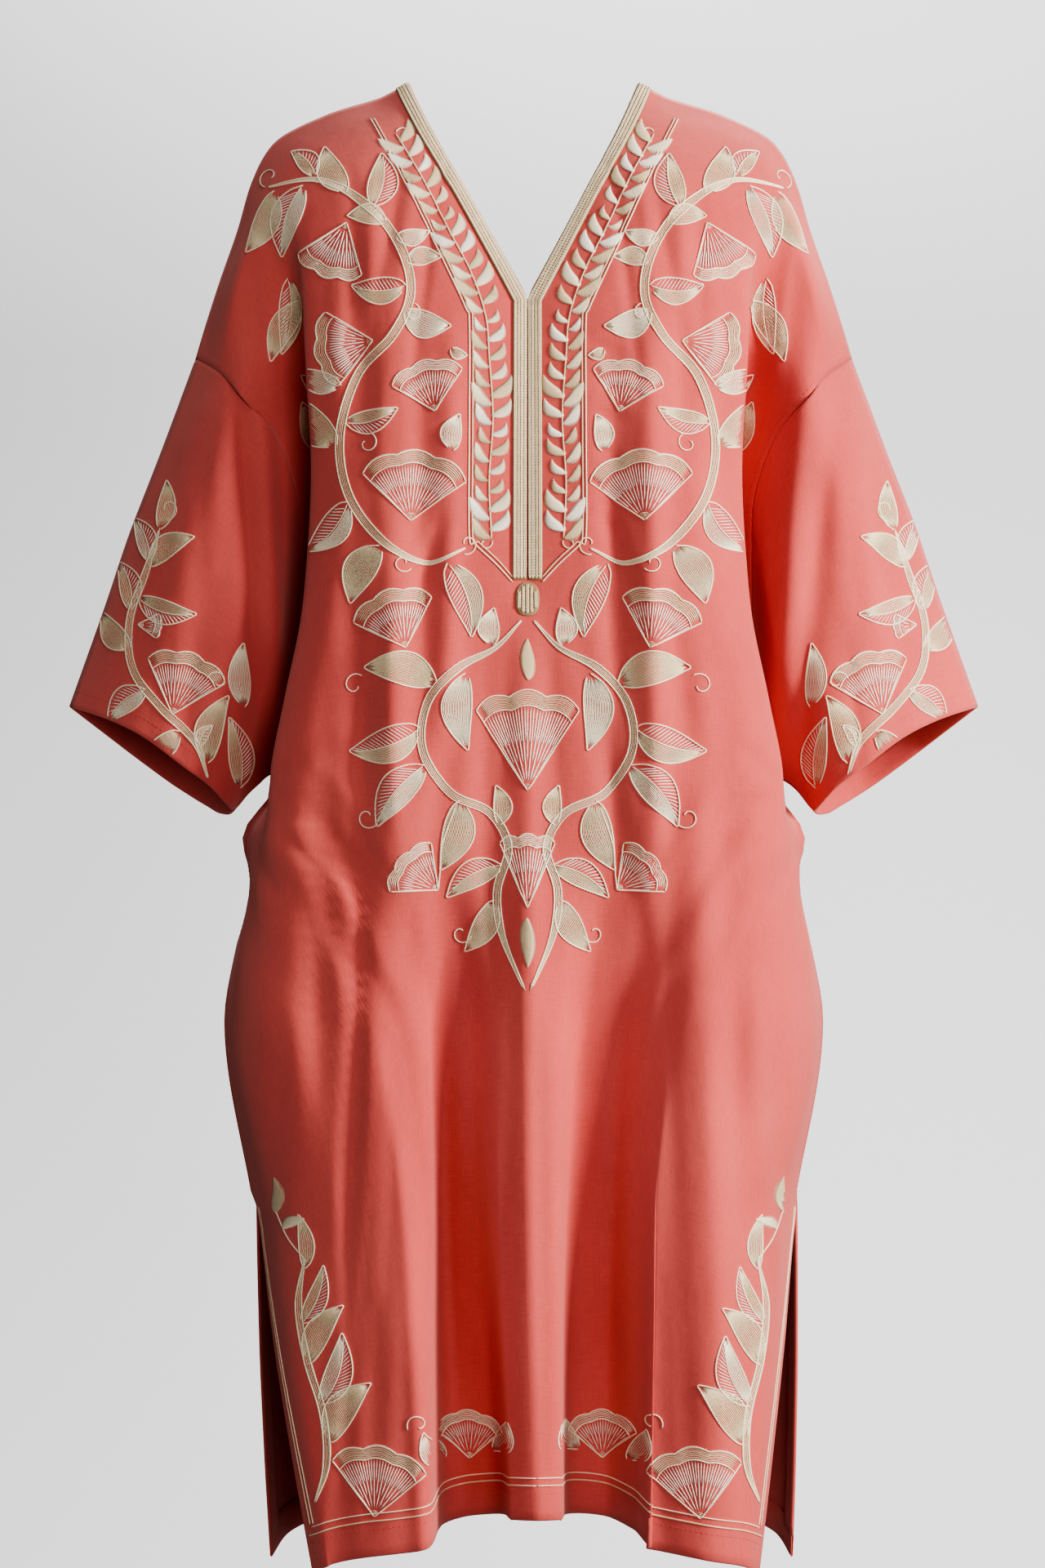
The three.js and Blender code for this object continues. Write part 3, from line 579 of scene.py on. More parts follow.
# The sleeves: wide tubes of the same cloth, each seamed to the straight edges of both panels and
# hemmed at the cuff. They fall over the arms in one long fold, and bunch a little at the underarm.
SLEEVE_COLUMNS = 84
CUFF_HEM_COLUMNS = 6
SLEEVE_LEVELS = [0, 0.035, 0.08, NECK_POINT, 0.25, PLACKET_END, 0.425, UNDERARM]
SLEEVE_SECTIONS = {
    ("middle", -1): [[326, 302, 270, 226, 208, 208, 214, 222], [0, 42, 68, 76, 60, 41, 24, 0],
                     [-373, -384, -400, -432, -472, -512, -556, -590]],
    ("middle", 1): [[326, 304, 276, 238, 218, 213, 217, 222], [0, 34, 56, 60, 44, 26, 12, 0],
                    [-373, -386, -404, -438, -478, -516, -558, -590]],
    ("cuff", -1): [[378, 348, 316, 281, 256, 246, 242, 241], [0, 34, 58, 66, 54, 37, 19, 0],
                   [-518, -527, -541, -566, -585, -597, -603, -605]],
    ("cuff", 1): [[378, 354, 332, 293, 268, 254, 246, 241], [0, 24, 44, 56, 46, 28, 13, 0],
                  [-518, -538, -556, -585, -600, -607, -608, -605]],
}
RIGHT_SLEEVE_CREASES = [
    (-240, -180, -211, -600, 3, 8, 7.0), (-223, -180, -200, -600, 3, 7, -4.5),
    (-262, -280, -276, -560, 6, 10, 2.4), (-286, -300, -318, -500, 6, 8, 1.8),
    (-250, -300, -300, -560, 10, 12, -2.2),
    (-224, -420, -232, -600, 4, 7, 2.2), (-300, -260, -344, -480, -4, 8, -1.6),
    (-270, -440, -286, -580, 3, 6, 1.4),
]
LEFT_SLEEVE_CREASES = [
    (262, -230, 224, -600, -4, 11, 5.0), (238, -200, 206, -600, -3, 9, -4.0),
    (276, -260, 296, -540, -6, 9, -2.2), (284, -290, 322, -510, -6, 8, 1.7),
    (252, -310, 296, -560, -10, 12, -2.3),
    (226, -430, 234, -600, -4, 7, 2.1), (298, -250, 340, -470, 4, 8, -1.5),
    (266, -450, 280, -590, -3, 6, 1.5),
]
ARMHOLE_GROOVE = 0.0009
ARMHOLE_GROOVE_WIDTH = 0.0025


def sleeve_section(name, side, facing, at):
    table = SLEEVE_SECTIONS[(name, facing)]
    out, depth, height = [through(SLEEVE_LEVELS, values, at) for values in table]
    return np.stack([side * out, facing * depth, height], axis=1) * MM


def sleeve_grid(side, creases):
    """Rows round the sleeve, front from the top down and back up again, and columns to the cuff."""
    index = 0 if side < 0 else 1
    rows = np.arange(0, UNDERARM_ROW + 1, 2)
    at = PANEL_ROWS[rows]
    halves = []
    for facing, grids in ((-1, front_grids), (1, back_grids)):
        start = grids[index][rows, -1].copy()
        start[[0, -1], 1] = 0
        middle = sleeve_section("middle", side, facing, at)
        cuff = sleeve_section("cuff", side, facing, at)
        halves.append(np.stack([start, middle, cuff]))
    ring = np.concatenate([halves[0], halves[1][:, -2::-1]], axis=1)
    places = np.linspace(0, 1, SLEEVE_COLUMNS + 1)
    grid = through([0, 0.5, 1], ring, places).swapaxes(0, 1).copy()
    relaxed(grid, 3)
    press_creases(grid, side, creases)
    normals = grid_normals(grid, side)
    reach = np.cumsum(np.linalg.norm(np.diff(grid, axis=1), axis=2), axis=1)
    reach = np.concatenate([np.zeros((len(grid), 1)), reach], axis=1)
    groove = ARMHOLE_GROOVE * np.exp(-((reach / ARMHOLE_GROOVE_WIDTH) ** 2))
    groove[:, 0] = 0
    grid -= normals * groove[:, :, None]
    grid[-1] = grid[0]
    return grid


sleeve_grids = {}
for side, label, creases in ((-1, "right", RIGHT_SLEEVE_CREASES), (1, "left", LEFT_SLEEVE_CREASES)):
    grid = sleeve_grid(side, creases)
    normals = grid_normals(grid, side)
    hem = turned_edge(grid[:, -CUFF_HEM_COLUMNS:], normals[:, -CUFF_HEM_COLUMNS:])
    hem[-1] = hem[0]
    sleeve_cloth = cloth_object("sleeve_cloth_" + label, [grid, hem], [side, side])
    weld(sleeve_cloth)
    give_thickness(sleeve_cloth, CLOTH_THICKNESS)
    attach(sleeve_cloth, "root")
    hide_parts("sleeve_" + label)
    sleeve_grids[side] = grid

# The neck braids: a beige braid of four worked cords on a tape, sewn flat along the V and down
# both sides of the slit, with another round the back of the neck. Thread holds them down.
BRAID_CORDS = [0.00205, 0.00485, 0.00765, 0.01045]
CORD_HALF_WIDTH = 0.00125
CORD_PITCH = 0.0023
SLIT_INSET = 0.0006
SLIT_BLEND = 0.008
TAPE_PROFILE = [(-0.0006, -0.0004), (-0.0008, 0.0007), (0.0002, 0.0013), (0.003, 0.0014), (0.0058, 0.0015),
                (0.0087, 0.0014), (0.0112, 0.0013), (0.0121, 0.0007), (0.0121, 0.0002)]
# The lowest tone, a dark tan, is the tape's colour darkened into painted shade, so the tape seen between the
# braid's cords reads as shaded grooves.
TAN_GROOVE_SHADE, BEIGE, IVORY, SILVER = 0.0, 0.33, 0.67, 1.0


def thread_strands():
    """Thread colours, from a dark tan that carries painted groove shade, through beige and ivory to a silvery
    white, a little uneven.
    """
    group, out = new_group("thread_strands", [("Color", "NodeSocketColor"), ("Roughness", "NodeSocketFloat")])
    tone = group.nodes.new("ShaderNodeAttribute")
    tone.attribute_name = "tone"
    place = group.nodes.new("ShaderNodeTexCoord")
    wear = noise_of(group, place.outputs["Object"], 140.0, 3, (1, 1, 1))
    shift = math_of(group, "MULTIPLY", math_of(group, "SUBTRACT", wear, 0.5), 0.22)
    # The first stop is the dark tan: painted shade for the grooves between cords.
    colour = ramp_of(group, math_of(group, "ADD", tone.outputs["Fac"], shift),
                     [(0.0, (0.33, 0.225, 0.125)), (0.33, (0.71, 0.57, 0.385)), (0.67, (0.82, 0.71, 0.54)),
                      (1.0, (0.84, 0.775, 0.68))])
    group.links.new(colour, out.inputs["Color"])
    rough = math_of(group, "ADD", math_of(group, "MULTIPLY", wear, 0.2), 0.42)
    group.links.new(rough, out.inputs["Roughness"])
    return group


def silk_thread():
    material = bpy.data.materials.new("silk_thread")
    material.use_nodes = True
    tree = material.node_tree
    shader = tree.nodes["Principled BSDF"]
    strands = tree.nodes.new("ShaderNodeGroup")
    strands.node_tree = thread_strands()
    tree.links.new(strands.outputs["Color"], shader.inputs["Base Color"])
    tree.links.new(strands.outputs["Roughness"], shader.inputs["Roughness"])
    shader.inputs["Specular IOR Level"].default_value = 0.4
    shader.inputs["Sheen Weight"].default_value = 0.15
    shader.inputs["Sheen Roughness"].default_value = 0.4
    return material


THREAD = silk_thread()


def grid_tree(grids):
    """What a needle meets when it comes down on the cloth."""
    points, faces, start = [], [], 0
    for grid in grids:
        rows, columns = grid.shape[:2]
        index = start + np.arange(rows * columns).reshape(rows, columns)
        corners = [index[:-1, :-1], index[1:, :-1], index[1:, 1:], index[:-1, 1:]]
        faces.append(np.stack(corners, axis=2).reshape(-1, 4))
        points.append(grid.reshape(-1, 3))
        start += rows * columns
    return BVHTree.FromPolygons(np.concatenate(points).tolist(), np.concatenate(faces).tolist())


def snapped(tree, points, ups):
    """The nearest places on the cloth, and its normals there on the side that ups point to."""
    places, normals = np.empty_like(points), np.empty_like(points)
    flat = points.reshape(-1, 3)
    flat_ups = np.broadcast_to(ups, points.shape).reshape(-1, 3)
    found = places.reshape(-1, 3)
    found_normals = normals.reshape(-1, 3)
    for i, point in enumerate(flat):
        place, normal, _, _ = tree.find_nearest(Vector(point))
        found[i] = place
        found_normals[i] = np.array(normal) * (1 if normal.dot(Vector(flat_ups[i])) > 0 else -1)
    return places, normals


def beside(path, ups, places, aside):
    """Points at distances along a path, moved sideways, with their ups."""
    reach = np.concatenate([[0], np.cumsum(np.linalg.norm(np.diff(path, axis=0), axis=1))])
    ways = np.gradient(path, reach, axis=0)
    sides = np.cross(ways, ups)
    sides /= np.linalg.norm(sides, axis=1, keepdims=True)
    point, up, side = (np.stack([np.interp(places, reach, table[:, i]) for i in range(3)], axis=-1)
                       for table in (path, ups, sides))
    side /= np.linalg.norm(side, axis=-1, keepdims=True)
    return point + side * aside[..., None], up


def thread_batch(paths, ups, widths, heights, sides, tone):
    """Closed threads, one along each path, that draw in at both ends; widths and heights are half sizes."""
    ways = np.gradient(paths, axis=1)
    across = np.cross(ways, ups)
    across /= np.maximum(np.linalg.norm(across, axis=2, keepdims=True), 1e-9)
    turns = 2 * np.pi * (np.arange(sides) + 0.5) / sides
    aside = across[:, :, None] * (widths[:, :, None] * np.cos(turns))[..., None]
    above = ups[:, :, None] * (heights[:, :, None] * np.sin(turns))[..., None]
    ring = paths[:, :, None] + aside + above
    strands, rings = paths.shape[:2]
    index = np.arange(strands * rings * sides).reshape(strands, rings, sides)
    after = np.roll(index, -1, axis=2)
    quads = np.stack([index[:, :-1], index[:, 1:], after[:, 1:], after[:, :-1]], axis=3).reshape(-1, 4)
    tones = np.broadcast_to(np.asarray(tone, float).reshape(-1, 1), (strands, rings * sides)).reshape(-1)
    return ring.reshape(-1, 3), quads, [index[:, 0], index[:, -1, ::-1]], tones


def thread_object(name, batches, material=None):
    points, faces, tones, start = [], [], [], 0
    for ring, quads, ends, tone in batches:
        points.append(ring)
        tones.append(tone)
        faces += (quads + start).tolist()
        for end in ends:
            faces += (end + start).tolist()
        start += len(ring)
    mesh = bpy.data.meshes.new(name)
    mesh.from_pydata(np.concatenate(points).tolist(), [], faces)
    shades = mesh.attributes.new("tone", "FLOAT", "POINT")
    shades.data.foreach_set("value", np.concatenate(tones))
    mesh.shade_smooth()
    mesh.materials.append(material or THREAD)
    piece = bpy.data.objects.new(name, mesh)
    bpy.context.collection.objects.link(piece)
    return piece


def tape(path, ups, tree, hand):
    """The braid's ground: a closed band that wraps the neck edge, and stops short of the slit's. Its dark tan
    is painted shade for the grooves between the cords.
    """
    reach = np.concatenate([[0], np.cumsum(np.linalg.norm(np.diff(path, axis=0), axis=1))])
    places = np.linspace(0, reach[-1], int(reach[-1] / 0.003))
    slit_top = front_grids[0][NECK_ROW, 0, 2]
    inset = np.interp(np.interp(places, reach, path[:, 2]), [slit_top, slit_top + SLIT_BLEND],
                      [SLIT_INSET, TAPE_PROFILE[1][0]])
    rings = []
    for aside, height in TAPE_PROFILE:
        point, up = beside(path, ups, places, hand * np.maximum(aside, inset))
        inner = aside < 0
        ground, normal = (point, up) if inner else snapped(tree, point, up)
        rings.append(ground + normal * (height + CLOTH_THICKNESS / 2))
    ring = np.stack(rings, axis=1)
    if hand > 0:
        ring = ring[:, ::-1]
    steps, sides = ring.shape[:2]
    index = np.arange(steps * sides).reshape(steps, sides)
    after = np.roll(index, -1, axis=1)
    quads = np.stack([index[:-1], index[1:], after[1:], after[:-1]], axis=2).reshape(-1, 4)
    return ring.reshape(-1, 3), quads, [index[:1], index[-1:, ::-1]], np.full(steps * sides, TAN_GROOVE_SHADE)


def chain_cord(path, ups, tree, hand, aside, tone):
    """One cord of the braid: pairs of slanted stitches, each pair tucked under the next."""
    reach = np.linalg.norm(np.diff(path, axis=0), axis=1).sum()
    middles = np.arange(CORD_PITCH, reach - 0.3 * CORD_PITCH, CORD_PITCH)
    share = np.linspace(-1, 1, 4)
    batches = []
    for half in (-1, 1):
        places = np.clip(middles[:, None] + share * CORD_PITCH * 0.8, 0, reach)
        out = hand * aside + half * CORD_HALF_WIDTH * (0.5 - 0.34 * share)
        point, up = beside(path, ups, places, np.broadcast_to(out, places.shape))
        ground, normal = snapped(tree, point, up)
        lift = CLOTH_THICKNESS / 2 + 0.0013 + 0.0007 * (1 - share ** 2) + 0.0003 * share
        points = ground + normal * np.broadcast_to(lift, places.shape)[..., None]
        widths = np.broadcast_to([0.00032, 0.0007, 0.0007, 0.00028], places.shape)
        batches.append(thread_batch(points, normal, widths, widths * 0.9, 4, tone))
    return batches


def neck_braid(name, path, ups, tree, hand):
    batches = [tape(path, ups, tree, hand)]
    for aside, tone in zip(BRAID_CORDS, (0.4, 0.5, 0.3, 0.42)):
        batches += chain_cord(path, ups, tree, hand, aside, tone)
    piece = thread_object(name, batches)
    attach(piece, "root")
    return piece


front_tree = grid_tree(front_grids)
back_tree = grid_tree(back_grids)
for side, label, grid in ((-1, "right", front_grids[0]), (1, "left", front_grids[1])):
    normals = grid_normals(grid, side)[:PLACKET_ROW + 1, 0]
    edge = grid[:PLACKET_ROW + 1, 0].copy()
    braid = neck_braid("braid_" + label, edge, normals, front_tree, -side)
    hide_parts("neck_braid_" + label)
back_edge = [grid[:NECK_ROW + 1, 0] for grid in back_grids]
back_ups = [grid_normals(grid, -side)[:NECK_ROW + 1, 0]
            for side, grid in ((-1, back_grids[0]), (1, back_grids[1]))]
scoop = np.concatenate([back_edge[0], back_edge[1][-2::-1]])
scoop_ups = np.concatenate([back_ups[0], back_ups[1][-2::-1]])
back_braid = neck_braid("braid_back", scoop, scoop_ups, back_tree, -1)
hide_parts("neck_braid_back")

# The embroidery's stitches: long and short threads laid close for the filled shapes, open hatching,
# and twisted cords couched along the outlines. All of it is worked by hand through the cloth.
FIELD_STEP = 0.002
FIELD_HALF_WIDTH = 0.39
FIELD_DEPTH = 1.24
THREAD_RADIUS = 0.00055
THREAD_STEP = 0.0042
CORD_RADIUS = 0.00088
CORD_STEP = 0.00125
FILL_PITCH = 1.3
HATCH_PITCH = 2.9
luck = np.random.default_rng(7)


def cloth_field(grids, facing):
    """Where the cloth lies, seen square from the front or the back: its depth and its normals."""
    tree = grid_tree(grids)
    xs = np.arange(-FIELD_HALF_WIDTH, FIELD_HALF_WIDTH, FIELD_STEP)
    zs = np.arange(-FIELD_DEPTH, 0.0, FIELD_STEP)
    field = np.full((len(zs), len(xs), 4), np.nan)
    way = Vector((0, -facing, 0))
    for j, z in enumerate(zs):
        for i, x in enumerate(xs):
            place, normal, _, _ = tree.ray_cast(Vector((x, facing, z)), way)
            if place is not None:
                turned = 1 if normal.y * facing > 0 else -1
                field[j, i] = (place.y, normal.x * turned, normal.y * turned, normal.z * turned)
    return field


def on_cloth(field, path):
    """The points and normals of the cloth under a drawn path of x and z."""
    across = (path[:, 0] + FIELD_HALF_WIDTH) / FIELD_STEP
    down = (path[:, 1] + FIELD_DEPTH) / FIELD_STEP
    i = np.clip(np.floor(across).astype(int), 0, field.shape[1] - 2)
    j = np.clip(np.floor(down).astype(int), 0, field.shape[0] - 2)
    u, v = (across - i)[:, None], (down - j)[:, None]
    value = ((field[j, i] * (1 - u) + field[j, i + 1] * u) * (1 - v)
             + (field[j + 1, i] * (1 - u) + field[j + 1, i + 1] * u) * v)
    points = np.stack([path[:, 0], value[:, 0], path[:, 1]], axis=1)
    normals = value[:, 1:]
    normals = normals / np.maximum(np.linalg.norm(normals, axis=1, keepdims=True), 1e-9)
    return points, normals


def resampled(path, step):
    reach = np.concatenate([[0], np.cumsum(np.linalg.norm(np.diff(path, axis=0), axis=1))])
    count = max(3, int(round(reach[-1] / step)) + 1)
    places = np.linspace(0, reach[-1], count)
    return np.stack([np.interp(places, reach, path[:, k]) for k in range(path.shape[1])], axis=1)


class Work:
    """One piece of embroidery: threads drawn in millimetres on the front view, then laid on the cloth."""

    def __init__(self, field, side):
        self.field = field
        self.side = side
        self.strands = {}

    def lay(self, path, step, radius, lift, tone, twisted=False):
        path = np.asarray(path, float) * MM
        path = resampled(path, step)
        lean = sway(np.zeros((1, 1)), hang(path[:, 1]))[:, 0] * MM
        path[:, 0] = self.side * path[:, 0] + lean
        points, normals = on_cloth(self.field, path)
        lift = np.atleast_1d(lift)
        lifts = np.interp(np.linspace(0, 1, len(path)), np.linspace(0, 1, len(lift)), lift)
        points += normals * (CLOTH_THICKNESS / 2 + lifts)[:, None]
        steps = np.linalg.norm(np.diff(points, axis=0), axis=1)
        flat_steps = np.linalg.norm(np.diff(path, axis=0), axis=1)
        good = np.concatenate([[True], steps < 2.6 * flat_steps + 0.0005]) & np.isfinite(points[:, 1])
        start = 0
        for end in list(np.flatnonzero(~good)) + [len(points)]:
            if end - start >= 3:
                self.keep(points[start:end], normals[start:end], radius, tone, twisted)
            start = end if end < len(points) and np.isfinite(points[end, 1]) else end + 1

    def keep(self, points, normals, radius, tone, twisted):
        count = len(points)
        taper = np.ones(count)
        taper[[0, -1]] = 0.35
        if twisted:
            taper[1:-1:2] = 0.74
        self.strands.setdefault((count, twisted), []).append((points, normals, radius * taper, tone))

    def batches(self):
        made = []
        for (_, twisted), strands in self.strands.items():
            points, normals, radii, tones = (np.array(column) for column in zip(*strands))
            made.append(thread_batch(points, normals, radii, radii * 0.85, 4 if twisted else 3, tones))
        return made

    def cord(self, path, tone=IVORY, thickness=1.0):
        self.lay(smooth(path), CORD_STEP, CORD_RADIUS * thickness, 0.0004, tone, True)

    def line(self, path, tone=IVORY, thickness=1.0, lift=0.0002):
        self.lay(path, THREAD_STEP, THREAD_RADIUS * thickness, lift, tone)


def hang(z):
    """The share of the front's length at a height, near enough for its sway."""
    return np.interp(-z / MM, [0, 192, 418, 780, 1170], [0, NECK_POINT, PLACKET_END, HIP, 1])


def smooth(points):
    """A smooth curve through a few drawn points."""
    points = np.asarray(points, float)
    if len(points) < 3 or len(points) > 24:
        return points
    padded = np.concatenate([2 * points[:1] - points[1:2], points, 2 * points[-1:] - points[-2:-1]])
    pieces = []
    t = np.linspace(0, 1, 9)[:-1, None]
    for a, b, c, d in zip(padded, padded[1:], padded[2:], padded[3:]):
        pieces.append(0.5 * (2 * b + (c - a) * t + (2 * a - 5 * b + 4 * c - d) * t ** 2
                             + (3 * b - a - 3 * c + d) * t ** 3))
    return np.concatenate(pieces + [points[-1:]])


def leaf_form(x, z, angle, length, width, bend):
    """A leaf's middle line, its sideways direction and its half width, from its foot to its tip."""
    turn = math.radians(angle)
    ahead = np.array([math.cos(turn), math.sin(turn)])
    aside = np.array([-ahead[1], ahead[0]])
    t = np.linspace(0, 1, 33)
    middle = np.array([x, z]) + length * t[:, None] * ahead + bend * 4 * (t * (1 - t))[:, None] * aside
    half = 0.5 * width * np.sin(np.pi * t ** 0.82) ** 0.85
    return t, middle, aside, half


def leaf(work, x, z, angle, length, width, bend=0, style="full", tone=BEIGE, edge=IVORY):
    t, middle, aside, half = leaf_form(x, z, angle, length, width, bend)
    sides = {1: middle + aside * half[:, None], -1: middle - aside * half[:, None]}
    filled = {"full": (-1, 1), "half": (-1, 0)}[style]
    lanes = np.arange(filled[0] * width / 2 + 0.5, filled[1] * width / 2 - 0.3, FILL_PITCH) / (width / 2)
    for lane in lanes:
        low, high = 0.03 + 0.07 * luck.random(), 0.97 - 0.07 * luck.random()
        inside = (t >= low) & (t <= high)
        work.line((middle + aside * (half * lane)[:, None])[inside], tone + 0.08 * luck.random(), 1.1)
    if style != "full":
        reach = np.arange(0.1, 0.9, HATCH_PITCH / length)
        for start in reach:
            end = min(start + 0.16, 0.98)
            root = [np.interp(start, t, middle[:, k]) for k in range(2)]
            tip = [np.interp(end, t, sides[1][:, k]) for k in range(2)]
            work.line([root, tip], SILVER)
        work.cord(middle[1:-2:3], edge, 0.8)
    work.cord(np.concatenate([sides[1][::3], sides[-1][::-3]]), edge)


def satin_leaf(work, x, z, angle, length, width, bend=0, tone=BEIGE, crown=1.1):
    """A raised leaf of satin stitches laid side by side across a padded middle."""
    t, middle, aside, half = leaf_form(x, z, angle, length, width, bend)
    share = np.linspace(-1, 1, 5)
    for place in np.arange(0.02, 0.985, 0.85 / length):
        wide = np.interp(place, t, half)
        slant = 0.6 * wide * share / length
        centre = np.stack([np.interp(place + slant, t, middle[:, k]) for k in range(2)], axis=1)
        path = centre + aside * (wide * share)[:, None]
        height = crown * MM * min(1, wide / 2.2) * np.sqrt(np.maximum(1 - share ** 2, 0))
        work.lay(path, 2 * wide * MM / 4, 0.00052, height, tone + 0.05 * luck.random())


def fan(work, x, z, angle, spread, inner, outer, lobes=3, band=6, tone=BEIGE):
    """A palmette: open rays from a small heel, a filled band round its scalloped top, corded edges."""
    def at(radius, turn):
        wave = 1 + 0.06 * np.abs(np.sin(lobes * np.pi * (turn / spread + 0.5)))
        way = np.radians(angle + turn)
        reach = radius * (1 + (wave - 1) * (radius / outer) ** 2)
        return np.stack([x + reach * np.cos(way), z + reach * np.sin(way)], axis=-1)
    turns = np.linspace(-spread / 2, spread / 2, 25)
    rays = np.arange(-spread / 2 + 2, spread / 2 - 1, math.degrees(HATCH_PITCH / outer))
    for turn, start in zip(rays, np.resize([inner + 1, 0.5 * outer, 0.3 * outer, 0.5 * outer], len(rays))):
        radii = np.linspace(start + 1.5 * luck.random(), outer - band - 0.8, 8)
        work.line(at(radii, turn + 0.3 * luck.random()), SILVER, 1.15)
    for radius in np.arange(outer - band + 0.5, outer - 0.4, FILL_PITCH):
        work.line(at(radius, turns[1:-1]), tone + 0.1 * luck.random(), 1.1)
    for radius in np.arange(1.0, inner, FILL_PITCH):
        work.line(at(radius, turns[::3]), tone, 1.1)
    work.cord(at(outer, turns), IVORY)
    work.cord(at(outer - band, turns), IVORY, 0.8)
    for edge in (-spread / 2, spread / 2):
        work.cord(at(np.linspace(0, outer, 6), edge), IVORY)


def laurel(work, path, pitch, length, width):
    """Padded leaves in two rows, one each side of a corded stem, that point the way it grows."""
    work.cord(path, BEIGE)
    middle = resampled(smooth(path), pitch)
    ways = np.gradient(middle, axis=0)
    for i, ((x, z), way) in enumerate(zip(middle[:-1], ways)):
        angle = math.degrees(math.atan2(way[1], way[0]))
        size = 0.86 + 0.14 * math.sin(2.1 * i) + 0.12 * math.cos(0.9 * i)
        for hand in (1, -1):
            shift = 0.35 * pitch if hand == 1 else 0
            foot = np.array([x, z]) + way / np.linalg.norm(way) * shift
            tone = (BEIGE, SILVER, IVORY, BEIGE, IVORY)[(i + (hand > 0)) % 5]
            satin_leaf(work, foot[0], foot[1], angle + hand * 40, length * size, width * size,
                       hand * 0.16 * length, tone)


def ribbon(work, path, width, tone=BEIGE, edge=IVORY):
    """A filled stem: long stitches side by side between two couched cords, drawn in at both ends."""
    middle = resampled(smooth(path), 3.0)
    ways = np.gradient(middle, axis=0)
    ways /= np.linalg.norm(ways, axis=1, keepdims=True)
    aside = np.stack([-ways[:, 1], ways[:, 0]], axis=1)
    share = np.linspace(0, 1, len(middle))
    half = 0.5 * width * np.minimum(1, 5 * np.minimum(share, 1 - share) + 0.12)
    for lane in np.arange(-width / 2 + 0.6, width / 2 - 0.3, FILL_PITCH) / (width / 2):
        work.line(middle + aside * (half * lane)[:, None], tone + 0.08 * luck.random(), 1.1)
    for hand in (-1, 1):
        work.cord((middle + aside * (half * hand)[:, None])[::2], edge, 0.9)


def scroll(work, x, z, angle, radius, turns, hand, tone=IVORY):
    """A tendril that starts at x and z on its way at an angle, and curls up on itself."""
    t = np.linspace(0, 1, 20)
    sizes = radius * (1 - 0.75 * t)
    ways = np.radians(angle) + hand * 2 * np.pi * turns * t
    steps = 2 * np.pi * turns * sizes / 19
    path = np.cumsum(np.stack([np.cos(ways), np.sin(ways)], axis=1) * steps[:, None], axis=0)
    work.cord(np.array([x, z]) + path, tone, 0.9)


front_field = cloth_field([*front_grids, *sleeve_grids.values()], -1)
back_field = cloth_field([*back_grids, *sleeve_grids.values()], 1)


def embroidery(name, draw, sides=(-1, 1), field=None):
    works = []
    for side in sides:
        work = Work(front_field if field is None else field, side)
        draw(work)
        works += work.batches()
    piece = thread_object(name, works)
    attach(piece, "root")
    return piece


# The placket work: couched lines frame the neck and the slit. Between frame and braid a corded stem
# climbs on each side, with a row of padded satin leaves on both sides of it and a tendril at each end.
PLACKET_FRAME = [(127, -34), (107, -76), (86, -121), (66, -165), (50, -200), (47, -214), (47, -300),
                 (47, -383), (42, -391), (26, -406), (12, -421)]
PLACKET_STEM = [(29, -386), (31, -340), (28, -290), (31, -240), (34, -206), (46, -170), (62, -138),
                (76, -108), (91, -78), (106, -50)]
PLACKET_TENDRILS = [(29, -386, 250, 6, 0.8, 1), (106, -50, 100, 6, 0.8, 1)]


def draw_placket(work):
    work.cord(PLACKET_FRAME, IVORY)
    work.cord([(x - 2.8, z) for x, z in PLACKET_FRAME[:8]] + [(39, -389.5), (24, -403.5), (12, -417)], BEIGE)
    laurel(work, PLACKET_STEM, 15.5, 23, 11)
    for x, z, angle, radius, turns, hand in PLACKET_TENDRILS:
        scroll(work, x, z, angle, radius, turns, hand)


embroidery("embroidery_placket", draw_placket)

# The chest work: on each side a filled stem climbs from the slit's foot to the shoulder, with leaves
# half filled and half hatched along it, and palmettes where it turns.
CHEST_STEM = [(50, -394), (80, -406), (114, -390), (143, -352), (151, -304), (137, -254), (108, -222),
              (94, -186), (105, -144), (134, -110), (170, -90), (212, -92)]
CHEST_LEAVES = [
    (64, -406, 252, 62, 26, -6, "half", BEIGE), (118, -392, 298, 52, 27, 6, "full", BEIGE),
    (144, -356, 312, 52, 25, -6, "half", IVORY), (153, -310, 52, 54, 26, -6, "full", BEIGE),
    (147, -292, 166, 44, 19, 5, "half", BEIGE), (100, -204, 196, 40, 22, 5, "full", IVORY),
    (98, -182, 2, 44, 22, -5, "half", BEIGE), (98, -162, 172, 29, 15, -3, "full", BEIGE),
    (106, -142, 168, 27, 14, 3, "full", IVORY), (124, -116, 98, 48, 24, 5, "half", BEIGE),
    (146, -102, 66, 46, 22, -5, "full", BEIGE), (182, -94, 288, 60, 26, 6, "half", IVORY),
    (206, -96, 296, 56, 22, -5, "full", BEIGE), (172, -86, 50, 32, 18, 4, "half", BEIGE),
    (114, -128, 10, 32, 17, 4, "full", BEIGE), (150, -262, 24, 40, 18, -4, "full", IVORY),
    (182, -186, 300, 58, 20, 6, "full", BEIGE), (196, -168, 276, 62, 20, -5, "half", BEIGE),
    (62, -234, 200, 14, 9, 2, "full", BEIGE), (60, -316, 100, 30, 16, -4, "full", IVORY),
]


